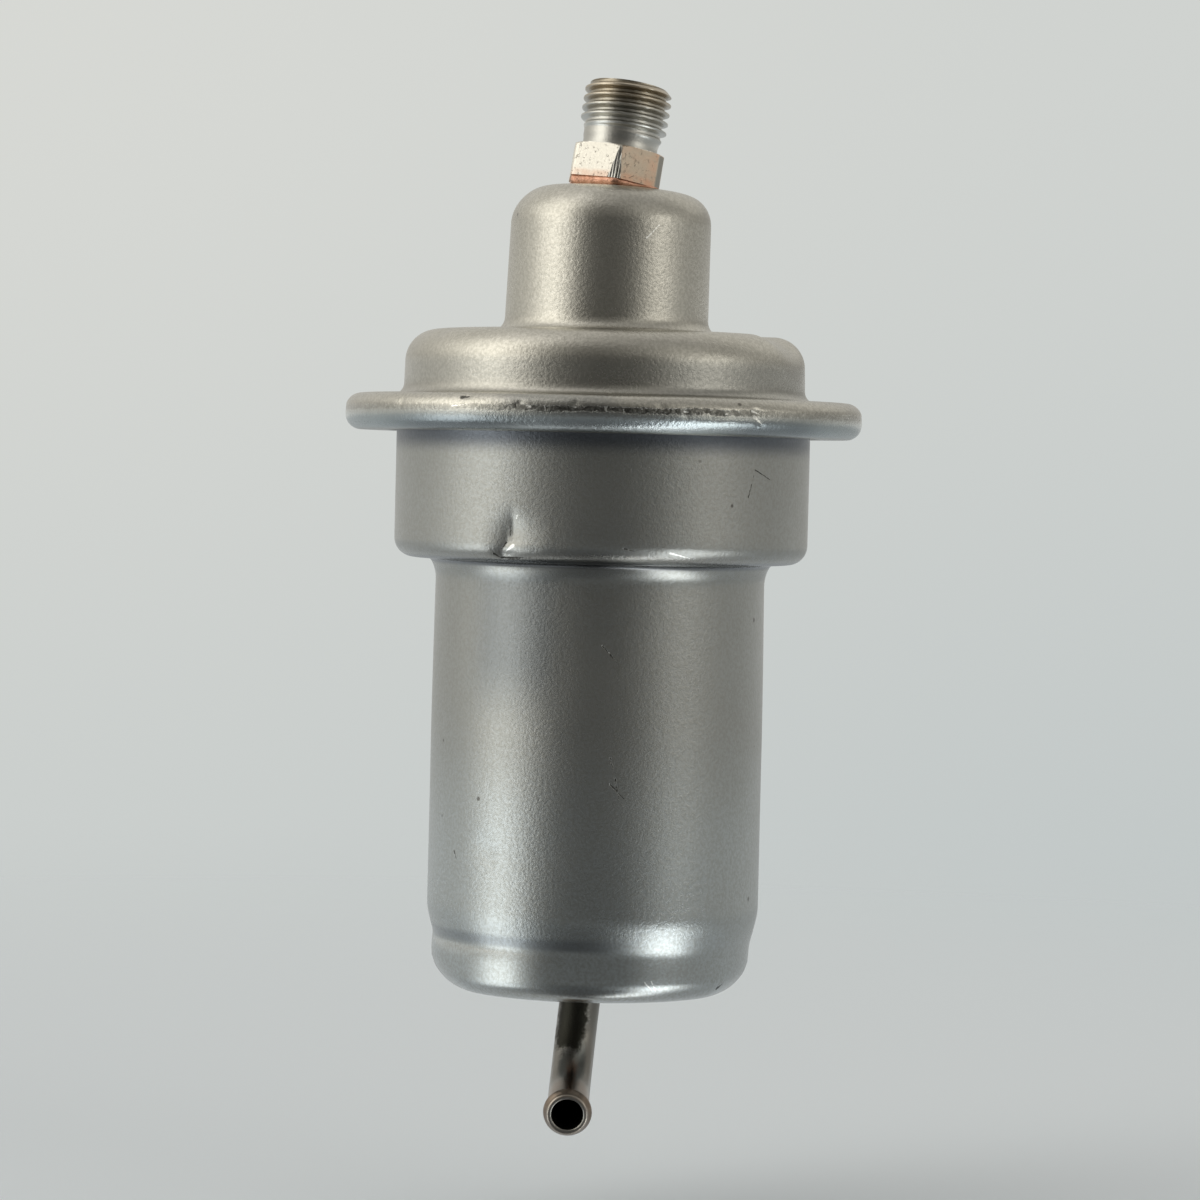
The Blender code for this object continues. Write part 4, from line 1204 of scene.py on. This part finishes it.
def rolling_diaphragm():
    """Rubber disc with its fold, in twelve like sectors."""
    corners = [
        (DISC_HOLE, DISC_TOP, 0),
        (FOLD_INNER, DISC_TOP, 0.0035),
        (FOLD_INNER, FOLD_BOTTOM, FOLD_BEND),
        (FOLD_OUTER, FOLD_BOTTOM, FOLD_BEND),
        (FOLD_OUTER, DISC_RIM_TOP, 0.0028),
        (FLANGE_EDGE, DISC_RIM_TOP, 0),
    ]
    outline = fill_in(rounded(corners, 0.0006), lambda height: 0.002)
    loop = sheet_loop(outline, RUBBER)
    sectors = 12
    for index in range(sectors):
        middle = 2 * math.pi * index / sectors
        half = math.pi / sectors
        radius, height, azimuth = spin(loop, np.linspace(middle - half, middle + half, 7))
        name = f"diaphragm_sector_{index + 1}"
        x, y = flat_place(radius, azimuth)
        mesh = grid_mesh(name, x, y, height, wrap=True, closed=False)
        piece = dress(name, mesh, "diaphragm_rubber", "diaphragm")
        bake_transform(piece)


def dress_inner_nodes():
    """Give the CAD nodes that stay their detailed materials."""
    for entry in frame["record"]["subparts"]:
        piece = frame["nodes"][entry["node"]]
        for slot in piece.material_slots:
            slot.material = MATERIALS[entry["material_slot"]]


# Studio
# Brightness of the surround, in layers from straight below to straight above. Each layer takes
# over from the one under it between two heights of the direction, and has its own tint and
# its brightness by azimuth from the front.
SURROUND = [
    (-1.0, -0.99, (0.98, 1.0, 1.0), [
        (-180, 0.6), (-100, 0.55), (-80, 0.35), (-40, 0.12), (0, 0.1), (34, 0.2), (50, 2.4),
        (68, 2.4), (84, 0.6), (120, 0.55), (180, 0.6),
    ]),
    (-0.94, -0.8, (0.96, 1.0, 1.02), [
        (-180, 0.65), (-110, 0.6), (-88, 0.5), (-70, 0.4), (-30, 0.14), (0, 0.11), (34, 0.2),
        (48, 2.2), (66, 2.2), (80, 0.5), (120, 0.5), (180, 0.65),
    ]),
    (-0.7, -0.6, (0.95, 1.0, 1.02), [
        (-180, 0.65), (-112, 0.6), (-98, 0.8), (-84, 2.2), (-66, 2.2), (-54, 0.7), (-44, 0.3),
        (-30, 0.16), (-15, 0.12), (8, 0.14), (28, 0.4), (40, 1.4), (50, 3.0), (66, 3.0), (76, 1.2),
        (88, 0.5), (120, 0.5), (180, 0.65),
    ]),
    (-0.42, -0.3, (0.96, 1.0, 1.0), [
        (-180, 0.6), (-120, 0.65), (-98, 0.65), (-84, 1.3), (-76, 2.4), (-60, 2.4), (-50, 0.6),
        (-38, 0.22), (-10, 0.2), (10, 0.2), (30, 0.2), (50, 0.35), (80, 0.4), (120, 0.5),
        (160, 0.52), (180, 0.6),
    ]),
    (-0.085, -0.045, (0.99, 1.0, 0.97), [
        (-180, 0.8), (-130, 0.9), (-100, 0.88), (-80, 0.34), (-60, 0.28), (-46, 0.11), (-34, 0.07),
        (-18, 0.06), (0, 0.05), (18, 0.06), (36, 0.12), (52, 0.25), (75, 0.42), (100, 0.65),
        (130, 0.85), (160, 0.8), (180, 0.8),
    ]),
    (0.0, 0.05, (1.0, 0.98, 0.92), [
        (-180, 0.6), (-120, 0.66), (-98, 0.85), (-80, 1.7), (-58, 2.4), (-46, 1.2), (-36, 0.34),
        (-26, 0.1), (0, 0.08), (26, 0.12), (36, 0.4), (48, 1.15), (62, 1.8), (76, 0.9),
        (100, 0.42), (140, 0.4), (180, 0.6),
    ]),
    (0.15, 0.5, (1.0, 0.98, 0.92), [
        (-180, 0.7), (-120, 0.85), (-90, 1.7), (-64, 2.1), (-50, 0.9), (-36, 0.34), (-16, 0.17),
        (0, 0.16), (20, 0.26), (40, 0.5), (60, 0.6), (80, 0.4), (100, 0.45), (125, 0.75),
        (180, 0.7),
    ]),
    (0.72, 0.9, (1.0, 0.98, 0.94), [
        (-180, 0.7), (-120, 1.0), (-80, 1.4), (-40, 0.6), (0, 0.4), (40, 0.4), (80, 0.42),
        (120, 0.6), (180, 0.7),
    ]),
    (0.94, 0.98, (1.0, 0.98, 0.94), [
        (-180, 0.6), (-120, 0.6), (-80, 0.6), (0, 0.45), (80, 0.45), (180, 0.6),
    ]),
]
BRIGHTEST = 3.0


def surround(n, turn, tint, stops):
    """Colour of one layer of the surround for a turn from 0 to 1, the front being the middle."""
    node = n.add("ShaderNodeValToRGB")
    n.join(turn, node.inputs["Fac"])
    elements = node.color_ramp.elements
    while len(elements) > 1:
        elements.remove(elements[-1])
    for index, (azimuth, brightness) in enumerate(stops):
        spot = azimuth / 360 + 0.5
        element = elements[0] if index == 0 else elements.new(spot)
        element.position = spot
        element.color = (*[brightness / BRIGHTEST * share for share in tint], 1.0)
    return n.scale(node.outputs["Color"], BRIGHTEST)


def studio_world():
    """Pale surround with a dim front, brighter at both sides, and a pale backdrop with painted light,
    lighter towards the left and the top.
    """
    world = bpy.data.worlds.new("studio")
    bpy.context.scene.world = world
    world.use_nodes = True
    n = Nodes(world.node_tree)
    back = world.node_tree.nodes["Background"]
    parts = n.add("ShaderNodeSeparateXYZ")
    n.join(n.add("ShaderNodeTexCoord").outputs["Generated"], parts.inputs[0])
    behind = n.times(parts.outputs["Y"], -1.0)
    turn = n.line(n.math("ARCTAN2", parts.outputs["X"], behind), 0.5 / math.pi, 0.5)
    up = parts.outputs["Z"]
    light = (0.0, 0.0, 0.0)
    for low, high, tint, stops in SURROUND:
        light = n.mix(n.ramp(up, low, high), light, surround(n, turn, tint, stops))
    # Painted light: the backdrop is lighter towards the left and the top
    backdrop_painted_light = n.line(n.ramp(parts.outputs["X"], 0.16, -0.16), 0.5, n.ramp(up, -0.16, 0.12))
    backdrop = n.mix(n.times(backdrop_painted_light, 0.66), (0.53, 0.57, 0.57), (0.68, 0.69, 0.66))
    seen = n.add("ShaderNodeLightPath").outputs["Is Camera Ray"]
    n.join(n.mix(seen, light, backdrop), back.inputs["Color"])


def studio_floor():
    """Pale floor that keeps the object's shadow and fades into the backdrop further out."""
    mesh = bpy.data.meshes.new("floor")
    half = 1.5
    level = -0.125
    corners = [(-half, -half, level), (half, -half, level), (half, half, level), (-half, half, level)]
    mesh.from_pydata(corners, [], [(0, 1, 2, 3)])
    floor = bpy.data.objects.new("floor", mesh)
    material = bpy.data.materials.new("floor")
    material.use_nodes = True
    n = Nodes(material.node_tree)
    shader = material.node_tree.nodes["Principled BSDF"]
    shader.inputs["Base Color"].default_value = (0.76, 0.81, 0.85, 1.0)
    shader.inputs["Roughness"].default_value = 0.9
    place = n.add("ShaderNodeTexCoord").outputs["Object"]
    away = n.vector("LENGTH", n.vector("MULTIPLY", place, (1.0, 1.0, 0.0)).outputs[0]).outputs["Value"]
    gone = n.ramp(away, 0.12, 0.7)
    glossy = n.add("ShaderNodeLightPath").outputs["Is Glossy Ray"]
    clear = n.add("ShaderNodeBsdfTransparent")
    blend = n.add("ShaderNodeMixShader")
    n.join(n.most(gone, glossy), blend.inputs[0])
    n.join(shader.outputs[0], blend.inputs[1])
    n.join(clear.outputs[0], blend.inputs[2])
    n.join(blend.outputs[0], material.node_tree.nodes["Material Output"].inputs["Surface"])
    mesh.materials.append(material)
    bpy.context.scene.collection.objects.link(floor)


def softbox(name, azimuth, height, distance, size, power, colour):
    """Large area lamp that looks at the object; azimuth in degrees from the front."""
    place = Vector((*flat_place(distance, math.radians(azimuth)), height))
    lamp = bpy.data.lights.new(name, "AREA")
    lamp.shape = "RECTANGLE"
    lamp.size, lamp.size_y = size
    lamp.energy = power
    lamp.color = colour
    aim = (Vector((0, 0, -0.03)) - place).to_track_quat("-Z", "Y")
    thing = bpy.data.objects.new(name, lamp)
    thing.matrix_world = Matrix.Translation(place) @ aim.to_matrix().to_4x4()
    bpy.context.scene.collection.objects.link(thing)


def photo_camera():
    """Camera at the photograph's angle, distance and roll."""
    camera = bpy.data.cameras.new("camera")
    camera.sensor_width = 36.0
    camera.lens = PHOTO_FOCAL / PHOTO_WIDTH * 36.0
    camera.clip_start = 0.01
    eye = bpy.data.objects.new("camera", camera)
    pitch = math.atan((PHOTO_WIDTH / 2 - PHOTO_LEVEL_ROW) / PHOTO_FOCAL)
    eye.matrix_world = (
        Matrix.Translation(CAMERA_PLACE)
        @ Matrix.Rotation(math.pi / 2 - pitch, 4, "X")
        @ Matrix.Rotation(CAMERA_ROLL, 4, "Z")
    )
    bpy.context.scene.collection.objects.link(eye)
    bpy.context.scene.camera = eye


def studio():
    """Surround, floor, two soft lamps and the camera."""
    bpy.context.scene.view_settings.view_transform = "Standard"
    studio_world()
    studio_floor()
    softbox("left_box", -72.0, 0.12, 0.8, (0.3, 0.6), 0.08, (1.0, 0.97, 0.9))
    softbox("right_box", 60.0, 0.1, 0.8, (0.2, 0.5), 0.03, (1.0, 0.96, 0.88))
    photo_camera()


studio()
cover_skin()
can_skin()
union_skin()
braze_fillet()
tube_skin()
tube_fillet()
spring_coil()
rolling_diaphragm()
dress_inner_nodes()
